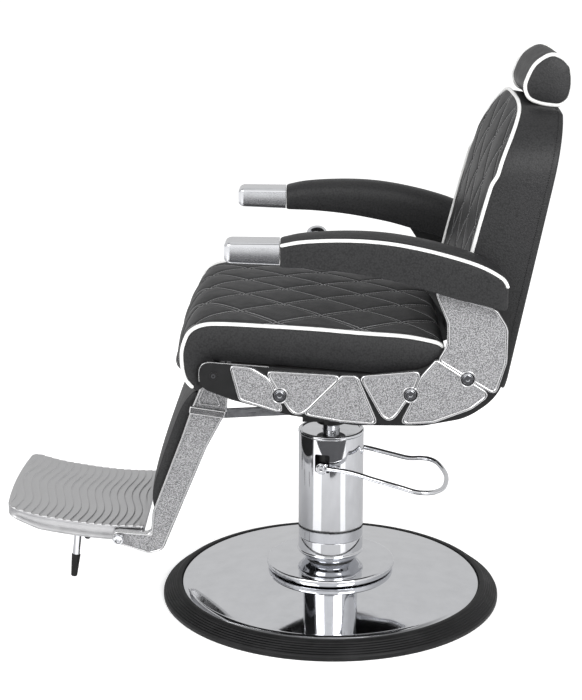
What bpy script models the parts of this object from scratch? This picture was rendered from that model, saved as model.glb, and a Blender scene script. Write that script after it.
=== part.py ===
"""Hydraulic barber chair: round pump base, swivelling seat, reclining back and rising legrest.

The chair faces -X and stands on z = 0 with its origin on the pump's axis, so the sitter's
left side is -Y. Sizes below are millimetres; MM turns them to Blender's metres.
"""
import math

import bmesh
import bpy
import numpy as np
from mathutils import Matrix, Vector

MM = 0.001
GAP = 0.3                       # clearance between pieces that touch

# Base and pump
BASE_R = 350.0                  # outside of the rubber rim
RIM_WIDTH = 38.0
RIM_TOP = 27.0
PLATE_R = 300.0
PLATE_T = 9.7
SKIRT_R = 133.0
PUMP_R = 67.0
PUMP_SEAM_Z = 129.0
PUMP_TOP_Z = 359.0
CYLINDER_R = 50.0
PISTON_R = 17.5

# Pedal
PEDAL_Z = 297.0                 # height of its axle
PEDAL_TURN = math.radians(-14)  # the loop points to the chair's rear and a little to the left
PEDAL_REACH = 243.0
PEDAL_HALF = 100.0
PEDAL_DROP = 29.0
WIRE_R = 5.0

# Seat
HEAD_TOP_Z = 412.0
PANEL_IN_Y = 276.0
PANEL_OUT_Y = 284.0
INLAY_Y = 289.5
SEAT_HALF = 268.0
SEAT_FRONT_X = -262.0
SEAT_REAR_X = 210.0
SEAT_SLOPE = 0.08
SEAT_UNDER_Z = 577.0            # underside of the cushion at its front
SEAT_CROWN = 9.0

# Arms
ARM_Y = 283.0
ARM_HALF = 37.0
ARM_FRONT_X = -97.0
TIP_FRONT_X = -200.0

# Back, headrest
BACK_AXIS = (252.0, 577.0)      # recline axis, x and z
BACK_HALF = 237.0
BACK_LEAN = 0.196               # x per z along the rear board
BACK_TOP_Z = 1044.0             # top of the quilted panel at its middle
BOARD_TOP_Z = 1027.0
HEAD_HALF = 104.0

# Legrest and footplate
LEG_AXIS = (-223.0, 550.0)
CRANK = (15.0, -110.0)          # from either axis to its link pin
LEG_IN_Y = 170.0
LEG_OUT_Y = 190.0
FOOT_AXIS = (-421.0, 186.0)
FOOT_HALF = 168.0
RIB_PITCH = 15.5
RIB_H = 2.4
RIB_WAVE = 7.0
RIB_WAVELENGTH = 168.0

# Quilting
QUILT_LONG = 153.5
QUILT_WIDE = 123.0
QUILT_PUFF = 5.0

# Recline lock
LOCK_Z = 470.0
LOCK_HALF_SWING = math.radians(22.5)

BODIES = {                      # body: (parent, a point on its joint's axis)
    "base": (None, (0, 0, 0)),
    "pedal": ("base", (0, 0, PEDAL_Z)),
    "lift": ("base", (0, 0, 0)),
    "seat": ("lift", (0, 0, 0)),
    "back": ("seat", (BACK_AXIS[0], 0, BACK_AXIS[1])),
    "headrest": ("back", (413, 0, 1045)),
    "legrest": ("seat", (LEG_AXIS[0], 0, LEG_AXIS[1])),
    "link": ("legrest", (LEG_AXIS[0] + CRANK[0], 0, LEG_AXIS[1] + CRANK[1])),
    "foot": ("legrest", (FOOT_AXIS[0], 0, FOOT_AXIS[1])),
    "lever": ("seat", (-16, 298, 492)),
    "lock": ("seat", (150, 0, LOCK_Z)),
}

FINISHES = {                    # finish: (colour, roughness, metallic)
    "leather": ((0.035, 0.035, 0.037), 0.5, 0.0),
    "chrome": ((0.82, 0.82, 0.83), 0.08, 1.0),
    "cast": ((0.62, 0.62, 0.63), 0.35, 1.0),
    "black_steel": ((0.02, 0.02, 0.02), 0.4, 0.0),
    "steel": ((0.42, 0.42, 0.43), 0.35, 1.0),
    "rubber": ((0.015, 0.015, 0.015), 0.7, 0.0),
    "board": ((0.25, 0.18, 0.11), 0.7, 0.0),
}

SIDES = (("left", -1), ("right", 1))


# ---------------------------------------------------------------- scene and helpers

def clear_scene():
    for obj in list(bpy.data.objects):
        bpy.data.objects.remove(obj, do_unlink=True)


def new_collection(name):
    col = bpy.data.collections.new(name)
    bpy.context.scene.collection.children.link(col)
    return col


def make_finishes():
    looks = {}
    for name, (colour, rough, metal) in FINISHES.items():
        mat = bpy.data.materials.new(name)
        mat.use_nodes = True
        shader = mat.node_tree.nodes["Principled BSDF"]
        shader.inputs["Base Color"].default_value = (*colour, 1)
        shader.inputs["Roughness"].default_value = rough
        shader.inputs["Metallic"].default_value = metal
        looks[name] = mat
    return looks


def make_empties(col):
    empties = {}
    for name, (parent, point) in BODIES.items():
        empty = bpy.data.objects.new("axis_" + name, None)
        empty.empty_display_size = 0.05
        col.objects.link(empty)
        here = Vector(point)
        if parent:
            empty.parent = empties[parent]
            here = here - Vector(BODIES[parent][1])
        empty.location = here * MM
        empties[name] = empty
    return empties


clear_scene()
CHAIR = new_collection("hydraulic_barber_chair")
CUTTERS = new_collection("cutters")
LOOKS = make_finishes()
EMPTIES = make_empties(CHAIR)


def place(obj, body, look, at=(0, 0, 0), turn=(0, 0, 0)):
    """Hang the object on its body's empty; `at` is a point of the chair in millimetres."""
    CHAIR.objects.link(obj)
    obj.parent = EMPTIES[body]
    obj.location = (Vector(at) - Vector(BODIES[body][1])) * MM
    obj.rotation_euler = turn
    if look:
        obj.data.materials.clear()
        obj.data.materials.append(LOOKS[look])
    return obj


def mesh_object(name, verts, faces, body, look, at=(0, 0, 0), turn=(0, 0, 0)):
    """A mesh from points in millimetres, measured from `at`, with its faces turned outwards."""
    mesh = bpy.data.meshes.new(name)
    points = [(Vector(v) * MM)[:] for v in verts]
    mesh.from_pydata(points, [], faces)
    bm = bmesh.new()
    bm.from_mesh(mesh)
    bmesh.ops.remove_doubles(bm, verts=bm.verts, dist=1e-6)
    bmesh.ops.recalc_face_normals(bm, faces=bm.faces)
    bmesh.ops.dissolve_limit(bm, angle_limit=math.radians(0.3), verts=bm.verts, edges=bm.edges)
    bm.to_mesh(mesh)
    bm.free()
    return place(bpy.data.objects.new(name, mesh), body, look, at, turn)


def smooth(obj, angle=40):
    obj.data.shade_smooth()
    obj.data.set_sharp_from_angle(angle=math.radians(angle))
    return obj


def turned(name, profile, body, look, at=(0, 0, 0), turn=(0, 0, 0), steps=32, ring=False):
    """A profile of (radius, height) down its outer side, turned about its own Z."""
    mesh = bpy.data.meshes.new(name)
    count = len(profile)
    edges = [(i, i + 1) for i in range(count - 1)]
    if ring:
        edges.append((count - 1, 0))
    mesh.from_pydata([(r * MM, 0, h * MM) for r, h in profile], edges, [])
    obj = place(bpy.data.objects.new(name, mesh), body, look, at, turn)
    screw = obj.modifiers.new("turn", "SCREW")
    screw.steps = steps
    screw.render_steps = steps
    screw.use_merge_vertices = True
    screw.merge_threshold = 1e-5
    screw.use_smooth_shade = True
    return obj


def box(name, low, high, body, look, bevel=0.0, turn=(0, 0, 0)):
    """A cube primitive stretched between two corners, its edges rounded by `bevel`."""
    centre = (Vector(low) + Vector(high)) / 2
    size = Vector(high) - Vector(low)
    bm = bmesh.new()
    bmesh.ops.create_cube(bm, size=1.0)
    bmesh.ops.scale(bm, vec=size * MM, verts=bm.verts)
    mesh = bpy.data.meshes.new(name)
    bm.to_mesh(mesh)
    bm.free()
    obj = place(bpy.data.objects.new(name, mesh), body, look, centre, turn)
    if bevel:
        add_bevel(obj, bevel)
    return obj


def rod(name, radius, low, high, axis, body, look, steps=16, chamfer=0.8):
    """A round bar along X, Y or Z between two points, with chamfered ends."""
    length = (Vector(high) - Vector(low)).length
    c = chamfer
    profile = [(0, length), (radius - c, length), (radius, length - c),
               (radius, c), (radius - c, 0), (0, 0)]
    turn = {"X": (0, math.pi / 2, 0), "Y": (-math.pi / 2, 0, 0), "Z": (0, 0, 0)}[axis]
    return turned(name, profile, body, look, low, turn, steps)


def add_bevel(obj, width, segments=1):
    bevel = obj.modifiers.new("edges", "BEVEL")
    bevel.width = width * MM
    bevel.segments = segments
    bevel.limit_method = "ANGLE"
    bevel.angle_limit = math.radians(40)
    return obj


def boolean(obj, tool, kind="DIFFERENCE"):
    """Cut the tool out of the object, or join it on; the tool goes to the cutters."""
    mod = obj.modifiers.new(kind.lower(), "BOOLEAN")
    mod.operation = kind
    mod.object = tool
    CHAIR.objects.unlink(tool)
    CUTTERS.objects.link(tool)
    tool.hide_render = True
    tool.display_type = "WIRE"
    return obj


def rounded(corners, steps=3):
    """Points of a closed outline: each corner (x, z, radius) becomes an arc, small ones a facet."""
    points = []
    count = len(corners)
    for i, (x, z, radius) in enumerate(corners):
        here = Vector((x, z))
        before = Vector(corners[i - 1][:2]) - here
        after = Vector(corners[(i + 1) % count][:2]) - here
        half = before.angle(after) / 2
        reach = radius / math.tan(half)
        reach = min(reach, 0.48 * before.length, 0.48 * after.length)
        start = here + before.normalized() * reach
        end = here + after.normalized() * reach
        parts = min(steps, 1 if radius < 9 else 2 if radius < 25 else 3)
        for k in range(parts + 1):
            t = k / parts
            point = start * (1 - t) ** 2 + here * 2 * t * (1 - t) + end * t ** 2
            points.append((point.x, point.y))
    return points


def outline_solid(name, points, y_low, y_high, body, look):
    """One (x, z) outline, or several, as a filled 2D curve extruded between two values of y."""
    outlines = points if isinstance(points[0], list) else [points]
    curve = bpy.data.curves.new(name, "CURVE")
    curve.dimensions = "2D"
    curve.fill_mode = "BOTH"
    curve.extrude = abs(y_high - y_low) / 2 * MM
    for outline in outlines:
        spline = curve.splines.new("POLY")
        spline.points.add(len(outline) - 1)
        for slot, (x, z) in zip(spline.points, outline):
            slot.co = (x * MM, z * MM, 0, 1)
        spline.use_cyclic_u = True
    drawn = bpy.data.objects.new(name + "_outline", curve)
    CUTTERS.objects.link(drawn)
    graph = bpy.context.evaluated_depsgraph_get()
    mesh = bpy.data.meshes.new_from_object(drawn.evaluated_get(graph))
    bpy.data.objects.remove(drawn)
    bm = bmesh.new()
    bm.from_mesh(mesh)
    bmesh.ops.remove_doubles(bm, verts=bm.verts, dist=1e-6)
    bmesh.ops.dissolve_limit(bm, angle_limit=math.radians(0.3), verts=bm.verts, edges=bm.edges)
    upright = Matrix.Rotation(math.pi / 2, 4, "X")
    bmesh.ops.transform(bm, matrix=upright, verts=bm.verts)
    bmesh.ops.recalc_face_normals(bm, faces=bm.faces)
    bm.to_mesh(mesh)
    bm.free()
    middle = (y_low + y_high) / 2
    return place(bpy.data.objects.new(name, mesh), body, look, (0, middle, 0))


def tray_face(obj, side, rim, slope, depth):
    """Sink the face that looks along side * Y, inside a flat rim and a sloping wall."""
    bm = bmesh.new()
    bm.from_mesh(obj.data)
    for width, sink in ((rim, 0.0), (slope, -depth)):
        bm.normal_update()
        outer = [f for f in bm.faces if f.normal.y * side > 0.99]
        if sink:
            outer = inner
        bmesh.ops.inset_region(bm, faces=outer, thickness=width * MM, depth=sink * MM,
                               use_even_offset=True, use_boundary=True)
        inner = outer
    bm.to_mesh(obj.data)
    bm.free()
    return obj


def loft(name, rings, body, look):
    """A closed skin over rings of equal count, its first and last ring capped."""
    count = len(rings[0])
    verts = [p for ring in rings for p in ring]
    faces = []
    for k in range(len(rings) - 1):
        for i in range(count):
            j = (i + 1) % count
            faces.append((k * count + i, k * count + j, (k + 1) * count + j, (k + 1) * count + i))
    faces.append(tuple(range(count)))
    last = (len(rings) - 1) * count
    faces.append(tuple(last + i for i in range(count)))
    return smooth(mesh_object(name, verts, faces, body, look))


def shaped_block(name, us, vs, ws, shape, body, look):
    """A block whose six faces are grids over us, vs and ws, each point moved by shape()."""
    verts, faces = [], []

    def sheet(rows, columns, point):
        start = len(verts)
        for a in rows:
            for b in columns:
                verts.append(shape(*point(a, b)))
        wide = len(columns)
        for i in range(len(rows) - 1):
            for j in range(wide - 1):
                k = start + i * wide + j
                faces.append((k, k + 1, k + wide + 1, k + wide))

    for end in (ws[0], ws[-1]):
        sheet(us, vs, lambda a, b, e=end: (a, b, e))
    for end in (vs[0], vs[-1]):
        sheet(us, ws, lambda a, b, e=end: (a, e, b))
    for end in (us[0], us[-1]):
        sheet(vs, ws, lambda a, b, e=end: (e, a, b))
    return smooth(mesh_object(name, verts, faces, body, look))


def wire(name, points, radius, body, look):
    """A round wire through the points, made a mesh with welded end caps."""
    curve = bpy.data.curves.new(name, "CURVE")
    curve.dimensions = "3D"
    curve.bevel_depth = radius * MM
    curve.bevel_resolution = 2
    curve.use_fill_caps = True
    spline = curve.splines.new("POLY")
    spline.points.add(len(points) - 1)
    for slot, point in zip(spline.points, points):
        slot.co = (*(Vector(point) * MM), 1)
    drawn = bpy.data.objects.new(name + "_line", curve)
    CUTTERS.objects.link(drawn)
    graph = bpy.context.evaluated_depsgraph_get()
    mesh = bpy.data.meshes.new_from_object(drawn.evaluated_get(graph))
    bpy.data.objects.remove(drawn)
    bm = bmesh.new()
    bm.from_mesh(mesh)
    bmesh.ops.remove_doubles(bm, verts=bm.verts, dist=1e-6)
    bmesh.ops.recalc_face_normals(bm, faces=bm.faces)
    bm.to_mesh(mesh)
    bm.free()
    return smooth(place(bpy.data.objects.new(name, mesh), body, look))


def along(knots, x):
    """A value read from (x, value) knots by straight lines."""
    xs, values = zip(*knots)
    return float(np.interp(x, xs, values))


def quilt(long, wide):
    """Height of the padded diamonds between the sewn lines, 0 on a line and 1 in a middle."""
    a = long / QUILT_LONG
    b = wide / QUILT_WIDE
    return math.sqrt(abs(math.sin(math.pi * (a + b)) * math.sin(math.pi * (a - b))))


# ---------------------------------------------------------------- base and pump

def base_plate():
    profile = [(0, PLATE_T), (PLATE_R - 1, PLATE_T), (PLATE_R, PLATE_T - 1),
               (PLATE_R, 1), (PLATE_R - 1, 0), (0, 0)]
    turned("base_plate", profile, "base", "steel", steps=40)


def base_rim():
    """Rubber ring in three falling steps, with a ledge for the chrome cover."""
    inner = PLATE_R + GAP
    ledge = BASE_R - RIM_WIDTH
    profile = [(ledge, RIM_TOP), (BASE_R - 23, RIM_TOP - 2), (BASE_R - 20, RIM_TOP - 7),
               (BASE_R - 12, RIM_TOP - 8), (BASE_R - 9, RIM_TOP - 13), (BASE_R - 2, RIM_TOP - 15),
               (BASE_R, RIM_TOP - 18), (BASE_R, 1.5), (BASE_R - 1.5, 0), (inner, 0), (inner, 22),
               (ledge, 22)]
    turned("base_rim", profile, "base", "rubber", ring=True, steps=40)


def cover_height(radius):
    """Top of the chrome cover: a low dome, steeper towards the rim."""
    edge = BASE_R - RIM_WIDTH - GAP
    return RIM_TOP + 0.5 + 41 * (1 - (radius / edge) ** 1.7)


def base_cover():
    edge = BASE_R - RIM_WIDTH - GAP
    top = [(r, cover_height(r)) for r in (CYLINDER_R + 8, 130, 190, 255, edge - 5)]
    under = [(r, cover_height(r) - 3.2) for r in (250, 170, CYLINDER_R + 8)]
    rim = [(edge, RIM_TOP - 1.5), (edge, 22 + GAP), (edge - 8, 22 + GAP)]
    turned("base_cover", top + rim + under, "base", "chrome", ring=True, steps=40)


def base_skirt():
    """Chrome collar that flares from the pump's foot to a rolled rim on the cover."""
    seat_z = cover_height(SKIRT_R) + GAP + 0.6
    outer = [(PUMP_R + 2, PUMP_SEAM_Z - 0.6), (PUMP_R + 2, 112), (PUMP_R - 5, 106),
             (PUMP_R - 5, 101), (PUMP_R + 3, 94.5), (PUMP_R + 22, 89.5), (SKIRT_R - 7, 85.5),
             (SKIRT_R - 1, 80), (SKIRT_R - 1, 71), (SKIRT_R - 4, seat_z)]
    inner = [(SKIRT_R - 7, seat_z), (SKIRT_R - 11, 81), (PUMP_R + 18, 86.5), (PUMP_R - 8, 97),
             (PUMP_R - 8, PUMP_SEAM_Z - 0.6)]
    turned("base_skirt", outer + inner, "base", "chrome", ring=True, steps=36)


def pump_cylinder():
    """Oil cylinder on the plate, bored for the piston."""
    foot = PLATE_T + GAP
    top = PUMP_TOP_Z - 14
    bore = PISTON_R + 0.5
    profile = [(0, 40), (bore, 40), (bore, top), (CYLINDER_R - 1, top), (CYLINDER_R, top - 1),
               (CYLINDER_R, foot), (0, foot)]
    turned("pump_cylinder", profile, "base", "steel", steps=24)


def pump_slot(side):
    """Cutter for the upright slot that the pedal's axle moves in."""
    centre = Matrix.Rotation(PEDAL_TURN, 3, "Z") @ Vector((0, side * PUMP_R, 0))
    centre.z = PEDAL_Z + 5
    slot = box("slot_cutter", centre - Vector((13, 10, 19)), centre + Vector((13, 10, 19)),
               "base", None)
    slot.rotation_euler = (0, 0, PEDAL_TURN)
    return slot


def pump_cover():
    low = PUMP_SEAM_Z - 0.6 + GAP
    high = PUMP_TOP_Z - 7
    profile = [(PUMP_R - 2, high), (PUMP_R, high), (PUMP_R, low), (PUMP_R - 2, low)]
    cover = turned("pump_cover", profile, "base", "chrome", ring=True, steps=36)
    for _, side in SIDES:
        boolean(cover, pump_slot(side))


def pump_cap():
    """Turned lid of the pump, with a raised lip and the piston's hole."""
    low = PUMP_TOP_Z - 7 + GAP
    hole = PISTON_R + 0.6
    profile = [(hole, PUMP_TOP_Z - 2), (PUMP_R - 8, PUMP_TOP_Z - 2), (PUMP_R - 6, PUMP_TOP_Z),
               (PUMP_R - 1, PUMP_TOP_Z), (PUMP_R + 0.8, PUMP_TOP_Z - 2), (PUMP_R + 0.8, low),
               (hole, low)]
    turned("pump_cap", profile, "base", "chrome", ring=True, steps=36)


def piston_rod():
    rod("piston_rod", PISTON_R, (0, 0, 120), (0, 0, 395), "Z", "lift", "steel", 24)


# ---------------------------------------------------------------- pedal

def pedal_point(reach, across, height):
    """A point given along the pedal, across it and by height."""
    flat = Matrix.Rotation(PEDAL_TURN, 3, "Z") @ Vector((reach, across, 0))
    return (flat.x, flat.y, height)


def pedal_path():
    """Half of the loop from the axle to its middle: a leg that falls and spreads, then a bend."""
    leg = [(0, 76), (22, 79), (80, 87), (150, 96), (195, PEDAL_HALF)]
    half = [pedal_point(x, -y, PEDAL_Z - PEDAL_DROP * min(1, x / 200) ** 1.6) for x, y in leg]
    corner = 42.0
    for k in range(1, 5):
        turn = k / 4 * math.pi / 2
        x = PEDAL_REACH - corner + corner * math.sin(turn)
        y = PEDAL_HALF - corner + corner * math.cos(turn)
        half.append(pedal_point(x, -y, PEDAL_Z - PEDAL_DROP))
    other = [pedal_mirror(p) for p in half[::-1]]
    return half + other


def pedal_mirror(point):
    """The same point on the pedal's other leg."""
    back = Matrix.Rotation(-PEDAL_TURN, 3, "Z") @ Vector(point)
    return pedal_point(back.x, -back.y, back.z)


def pedal():
    loop = wire("pedal_loop", pedal_path(), WIRE_R, "pedal", "chrome")
    for name, side in SIDES:
        inner = pedal_point(0, side * (CYLINDER_R + 3), PEDAL_Z)
        turn = (-side * math.pi / 2, 0, PEDAL_TURN)
        hub = [(0, 32), (11, 32), (12, 31), (12, 17.5), (7, 16.5), (7, 0), (0, 0)]
        boss = turned("pedal_boss_" + name, hub, "pedal", "chrome", inner, turn, 16)
        boolean(loop, boss, "UNION")
        outer = pedal_point(0, side * (CYLINDER_R + 3 + 32 + GAP), PEDAL_Z)
        bolt("pedal_bolt_" + name, outer, turn, "pedal", 8.0, 5.0)


def bolt(name, at, turn, body, radius, height, washer=0.0):
    """A socket-head bolt: a washer where it has one, a chamfered head and a hexagon socket."""
    thick = 2.0 if washer else 0.0
    profile = [(0, thick + height), (radius - 1, thick + height), (radius, thick + height - 1)]
    if washer:
        profile += [(radius, thick), (washer, thick), (washer, 0)]
    else:
        profile += [(radius, 0)]
    profile += [(0, 0)]
    head = turned(name, profile, body, "chrome", at, turn, 14)
    socket = turned(name + "_socket", [(0, 12), (radius * 0.55, 12), (radius * 0.55, 0), (0, 0)],
                    body, None, at, turn, 6)
    lift = Matrix.Rotation(turn[2], 3, "Z") @ Matrix.Rotation(turn[0], 3, "X") @ Vector((0, 0, 1))
    socket.location += lift * (thick + height * 0.35) * MM
    return boolean(head, socket)


# ---------------------------------------------------------------- seat structure

def swivel_head():
    """Hub that grips the piston, under a flat plate."""
    plate = box("swivel_head", (-58, -104, HEAD_TOP_Z - 8), (110, 104, HEAD_TOP_Z),
                "seat", "black_steel")
    hub = [(0, HEAD_TOP_Z - 4), (44, HEAD_TOP_Z - 4), (34, 398), (30, 390), (30, 372),
           (0, 372)]
    boolean(plate, turned("swivel_hub", hub, "seat", None, steps=24), "UNION")
    bore = [(0, 396), (PISTON_R + GAP, 396), (PISTON_R + GAP, 360), (0, 360)]
    boolean(plate, turned("swivel_bore", bore, "seat", None, steps=24))


def seat_frame():
    """Two steel cheeks on the swivel plate, carrying two square tubes across the chair."""
    cheek = [(-56, HEAD_TOP_Z + GAP, 6), (175, HEAD_TOP_Z + GAP, 4), (175, 505.7, 4),
             (120, 505.7, 10), (70, 472, 20), (-45, 472, 20), (-76, 491.7, 10), (-135, 491.7, 4),
             (-135, 482, 4)]
    for name, side in SIDES:
        low, high = sorted((side * 92, side * 100))
        outline_solid("seat_rail_" + name, rounded(cheek, 2), low, high, "seat", "black_steel")
    for name, x, low, high in (("front", -99, 492, 551.5), ("rear", 146, 506, 532)):
        reach = PANEL_IN_Y - GAP
        tube = box("seat_cross_" + name, (x - 15, -reach, low), (x + 15, reach, high),
                   "seat", "black_steel")
        hollow = box("hollow_" + name, (x - 12, -reach - 5, low + 3), (x + 12, reach + 5, high - 3),
                     "seat", None)
        boolean(tube, hollow)


def seat_under(x):
    """Underside of the seat cushion, which falls towards the back."""
    return SEAT_UNDER_Z - SEAT_SLOPE * (x - SEAT_FRONT_X)


def seat_pan():
    front, rear = -192.0, 196.0
    tilt = math.atan(SEAT_SLOPE)
    middle = (front + rear) / 2
    top = seat_under(middle) - GAP
    box("seat_pan", (front, -255, top - 10), (rear, 255, top), "seat", "board",
        bevel=1.5, turn=(0, tilt, 0))


def panel_outline():
    top = [(-250, 578, 24), (70, 554.5, 60), (172, 566, 70), (214, 600, 50), (213, 655, 45),
           (166, arm_under(166) - GAP, 2)]
    under_arm = [(x, arm_under(x) - GAP, 1) for x in (191, 232, 274)]
    rear = [(320, arm_under(320) - GAP, 8), (329, 640, 40), (328, 562, 40), (309, 512, 40),
            (252, 470, 50)]
    bottom = [(170, 454.5, 60), (40, 455, 60), (-80, 474, 60), (-190, 504, 60), (-250, 528, 26)]
    return rounded(top + under_arm + rear + bottom, 3)


INLAYS = (                      # corners (x, z, radius) of the six raised fields
    ((-191, 570, 5), (-152, 566, 30), (-118, 545, 30), (-92, 480, 7), (-172, 506, 5)),
    ((-122, 560, 5), (16, 551.5, 6), (-70, 466, 24)),
    ((20, 551, 8), (46, 550, 8), (84, 460, 6), (15, 464, 30), (-54, 478, 5)),
    ((53, 550, 7), (163, 560, 7), (152, 526, 40), (105, 455, 18)),
    ((193, 583, 4), (165, 550, 60), (147, 498, 40), (129, 461, 6), (190, 463, 30), (260, 490, 40),
     (292, 517, 9)),
    ((188, 717, 6), (300, 682, 26), (323, 645, 40), (323, 580, 60), (304, 519, 9), (197, 583, 6),
     (214, 613, 30), (213, 655, 40)),
)
PANEL_BOLTS = ((-99, 513), (146, 516), (252, 547))


def side_panels():
    """Cast side panels: a flat plate with six raised fields, each a sunk face in a bright rim."""
    for name, side in SIDES:
        low, high = sorted((side * PANEL_IN_Y, side * PANEL_OUT_Y))
        panel = outline_solid("side_panel_" + name, panel_outline(), low, high, "seat", "cast")
        low, high = sorted((side * (PANEL_OUT_Y - 2), side * INLAY_Y))
        fields = outline_solid("fields_" + name, [rounded(c) for c in INLAYS], low, high,
                               "seat", None)
        tray_face(fields, side, 2.6, 1.2, 1.4)
        boolean(panel, fields, "UNION")
        for number, (x, z) in enumerate(PANEL_BOLTS, 1):
            turn = (-side * math.pi / 2, 0, 0)
            recess = [(0, 20), (13.5, 20), (13.5, 0), (0, 0)]
            at = (x, side * (PANEL_OUT_Y - 0.6), z)
            boolean(panel, turned(f"recess_{name}_{number}", recess, "seat", None, at, turn, 16))
            at = (x, side * (PANEL_OUT_Y - 0.6 + GAP), z)
            bolt(f"panel_bolt_{name}_{number}", at, turn, "seat", 7.5, 6.0, 11.5)
        hole = rod("shaft_hole_" + name, 8 + GAP, (LEG_AXIS[0], -300, LEG_AXIS[1]),
                   (LEG_AXIS[0], 300, LEG_AXIS[1]), "Y", "seat", None, 16)
        boolean(panel, hole)
        if side > 0:
            x, _, z = BODIES["lever"][1]
            hole = rod("lever_hole", 5 + GAP, (x, 260, z), (x, 300, z), "Y", "seat", None)
            boolean(panel, hole)


def shafts():
    reach = PANEL_OUT_Y + 2
    rod("leg_shaft", 8, (LEG_AXIS[0], -reach, LEG_AXIS[1]), (LEG_AXIS[0], reach, LEG_AXIS[1]),
        "Y", "seat", "chrome")
    reach = PANEL_IN_Y - GAP
    rod("back_shaft", 10, (BACK_AXIS[0], -reach, BACK_AXIS[1]),
        (BACK_AXIS[0], reach, BACK_AXIS[1]), "Y", "seat", "steel")


# ---------------------------------------------------------------- arms

ARM_UNDER = ((-97, 766), (-34, 763), (37, 755), (115, 740), (166, 726), (191, 718), (232, 706),
             (274, 696), (320, 684))
ARM_TOP = ((-97, 816), (-58, 822), (0, 824), (56, 823), (114, 817), (174, 805), (233, 789),
           (272, 775), (304, 757), (320, 738))


def arm_under(x):
    return along(ARM_UNDER, x)


def arm_ring(x, side, shrink=0.0, half=ARM_HALF):
    """Section of an arm at x: flat below, crowned above, with a soft upper edge."""
    low = arm_under(x) + shrink
    high = along(ARM_TOP, x) - shrink
    tall = high - low
    half = half - shrink
    shape = ((-0.72, 0.0), (-0.95, 0.10), (-1.0, 0.40), (-0.99, 0.70), (-0.90, 0.86), (-0.55, 0.96),
             (0.0, 1.0), (0.55, 0.96), (0.90, 0.86), (0.99, 0.70), (1.0, 0.40), (0.95, 0.10),
             (0.72, 0.0))
    return [(x, side * ARM_Y + half * a, low + tall * b) for a, b in shape]


def arms():
    knots = [k[0] for k in ARM_UNDER]
    for name, side in SIDES:
        rings = [arm_ring(ARM_FRONT_X, side, 2.0)]
        rings += [arm_ring(x, side) for x in [-92] + knots[1:-1] + [300]]
        rings += [arm_ring(312, side, 6.0), arm_ring(319, side, 16.0)]
        loft("arm_pad_" + name, rings, "seat", "leather")
        arm_tip(name, side)


def arm_tip(name, side):
    """Bright cap in front of the pad: a rounded bar that thins a little to its round nose."""
    rings = []
    length = ARM_FRONT_X - GAP - TIP_FRONT_X
    for t in (0.0, 0.02, 0.07, 0.16, 0.30, 0.65, 1.0):
        x = TIP_FRONT_X + length * t
        nose = math.sqrt(1 - (1 - min(1, t / 0.30)) ** 2)
        half = 14 + 20 * nose
        middle = 791 - 2 * t
        tall = (18.5 + 3.5 * t) * (0.62 + 0.38 * nose)
        ring = []
        for k in range(20):
            angle = 2 * math.pi * k / 20
            c, s = math.cos(angle), math.sin(angle)
            across = math.copysign(abs(c) ** 0.45, c) * half
            up = math.copysign(abs(s) ** 0.45, s) * tall
            ring.append((x, side * ARM_Y + across, middle + up))
        rings.append(ring)
    loft("arm_tip_" + name, rings, "seat", "chrome")


# ---------------------------------------------------------------- seat cushion

SEAT_EDGE = ((-262, 638), (-242, 645), (-202, 646), (-119, 642), (-35, 637), (48, 630),
             (132, 624), (182, 615), (200, 610), (210, 600))
CHEEK_Y = 206.0                 # outside this the front corners hang lower
CHEEK_Z = 516.0
FRONT_LIP_Z = 548.0


def crown(v):
    return (1 - abs(v) ** 2.6) ** 0.8


def seat_bottom(x, v):
    """Underside: a sloping plane that lifts at the rear, a thin front lip, two deeper corners."""
    if abs(v) * SEAT_HALF > CHEEK_Y and x < -240:
        return CHEEK_Z
    if x < SEAT_FRONT_X - 5:
        return FRONT_LIP_Z
    return seat_under(x) + 0.75 * max(0, x - 180)


def seat_shape(u, v, w):
    """u runs from the front (0) to the rear (1), v across, w from the underside up."""
    x = SEAT_FRONT_X + (SEAT_REAR_X - SEAT_FRONT_X) * u
    edge = along(SEAT_EDGE, x)
    ends = 1 - 0.6 * max(0, (-215 - x) / 47) ** 2 - 0.6 * max(0, (x - 170) / 40) ** 2
    top = edge + SEAT_CROWN * crown(v) * ends
    top += QUILT_PUFF * quilt(x + 94, v * SEAT_HALF) * min(1, crown(v) * 2.5) * (w == 1) * ends
    low = seat_bottom(x, v)
    z = low + (top - low) * w
    bulge = math.sin(math.pi * w)
    y = v * (SEAT_HALF - 10 * (1 - w) ** 3 + 6 * bulge)
    if u == 0:
        deep = 22 + 9 * crown(v)
        x -= deep * math.sin(math.pi / 2 * min(1, 1.15 * (1 - w))) * (1 - 0.25 * (1 - w) ** 4)
        z = seat_bottom(x - 6, v) * (1 - w) + top * w
    return (x, y, z)


def seat_cushion():
    us = [0, 0.025, 0.055, 0.09] + list(np.linspace(0.14, 1.0, 16))
    half = [0.1 * k for k in range(8)] + [0.765, 0.775, 0.9, 1.0]
    vs = [-v for v in half[:0:-1]] + half
    shaped_block("seat_cushion", us, vs, [0, 0.33, 0.67, 1], seat_shape, "seat", "leather")


# ---------------------------------------------------------------- back

BACK_EDGE = ((596, 226), (640, 228), (700, 240), (786, 261), (839, 274), (895, 289), (950, 307),
             (985, 323), (1012, 339), (1026, 349), (1044, 355))
BACK_DROP = ((0, 0), (0.25, 2), (0.38, 5), (0.51, 9), (0.63, 15), (0.72, 21), (0.80, 31),
             (0.86, 43), (0.91, 58), (0.94, 72), (0.97, 92), (0.99, 112), (1.0, 130))


def board_x(z):
    """Front face of the rear board at height z."""
    return 337 + BACK_LEAN * (z - 655)


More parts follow.
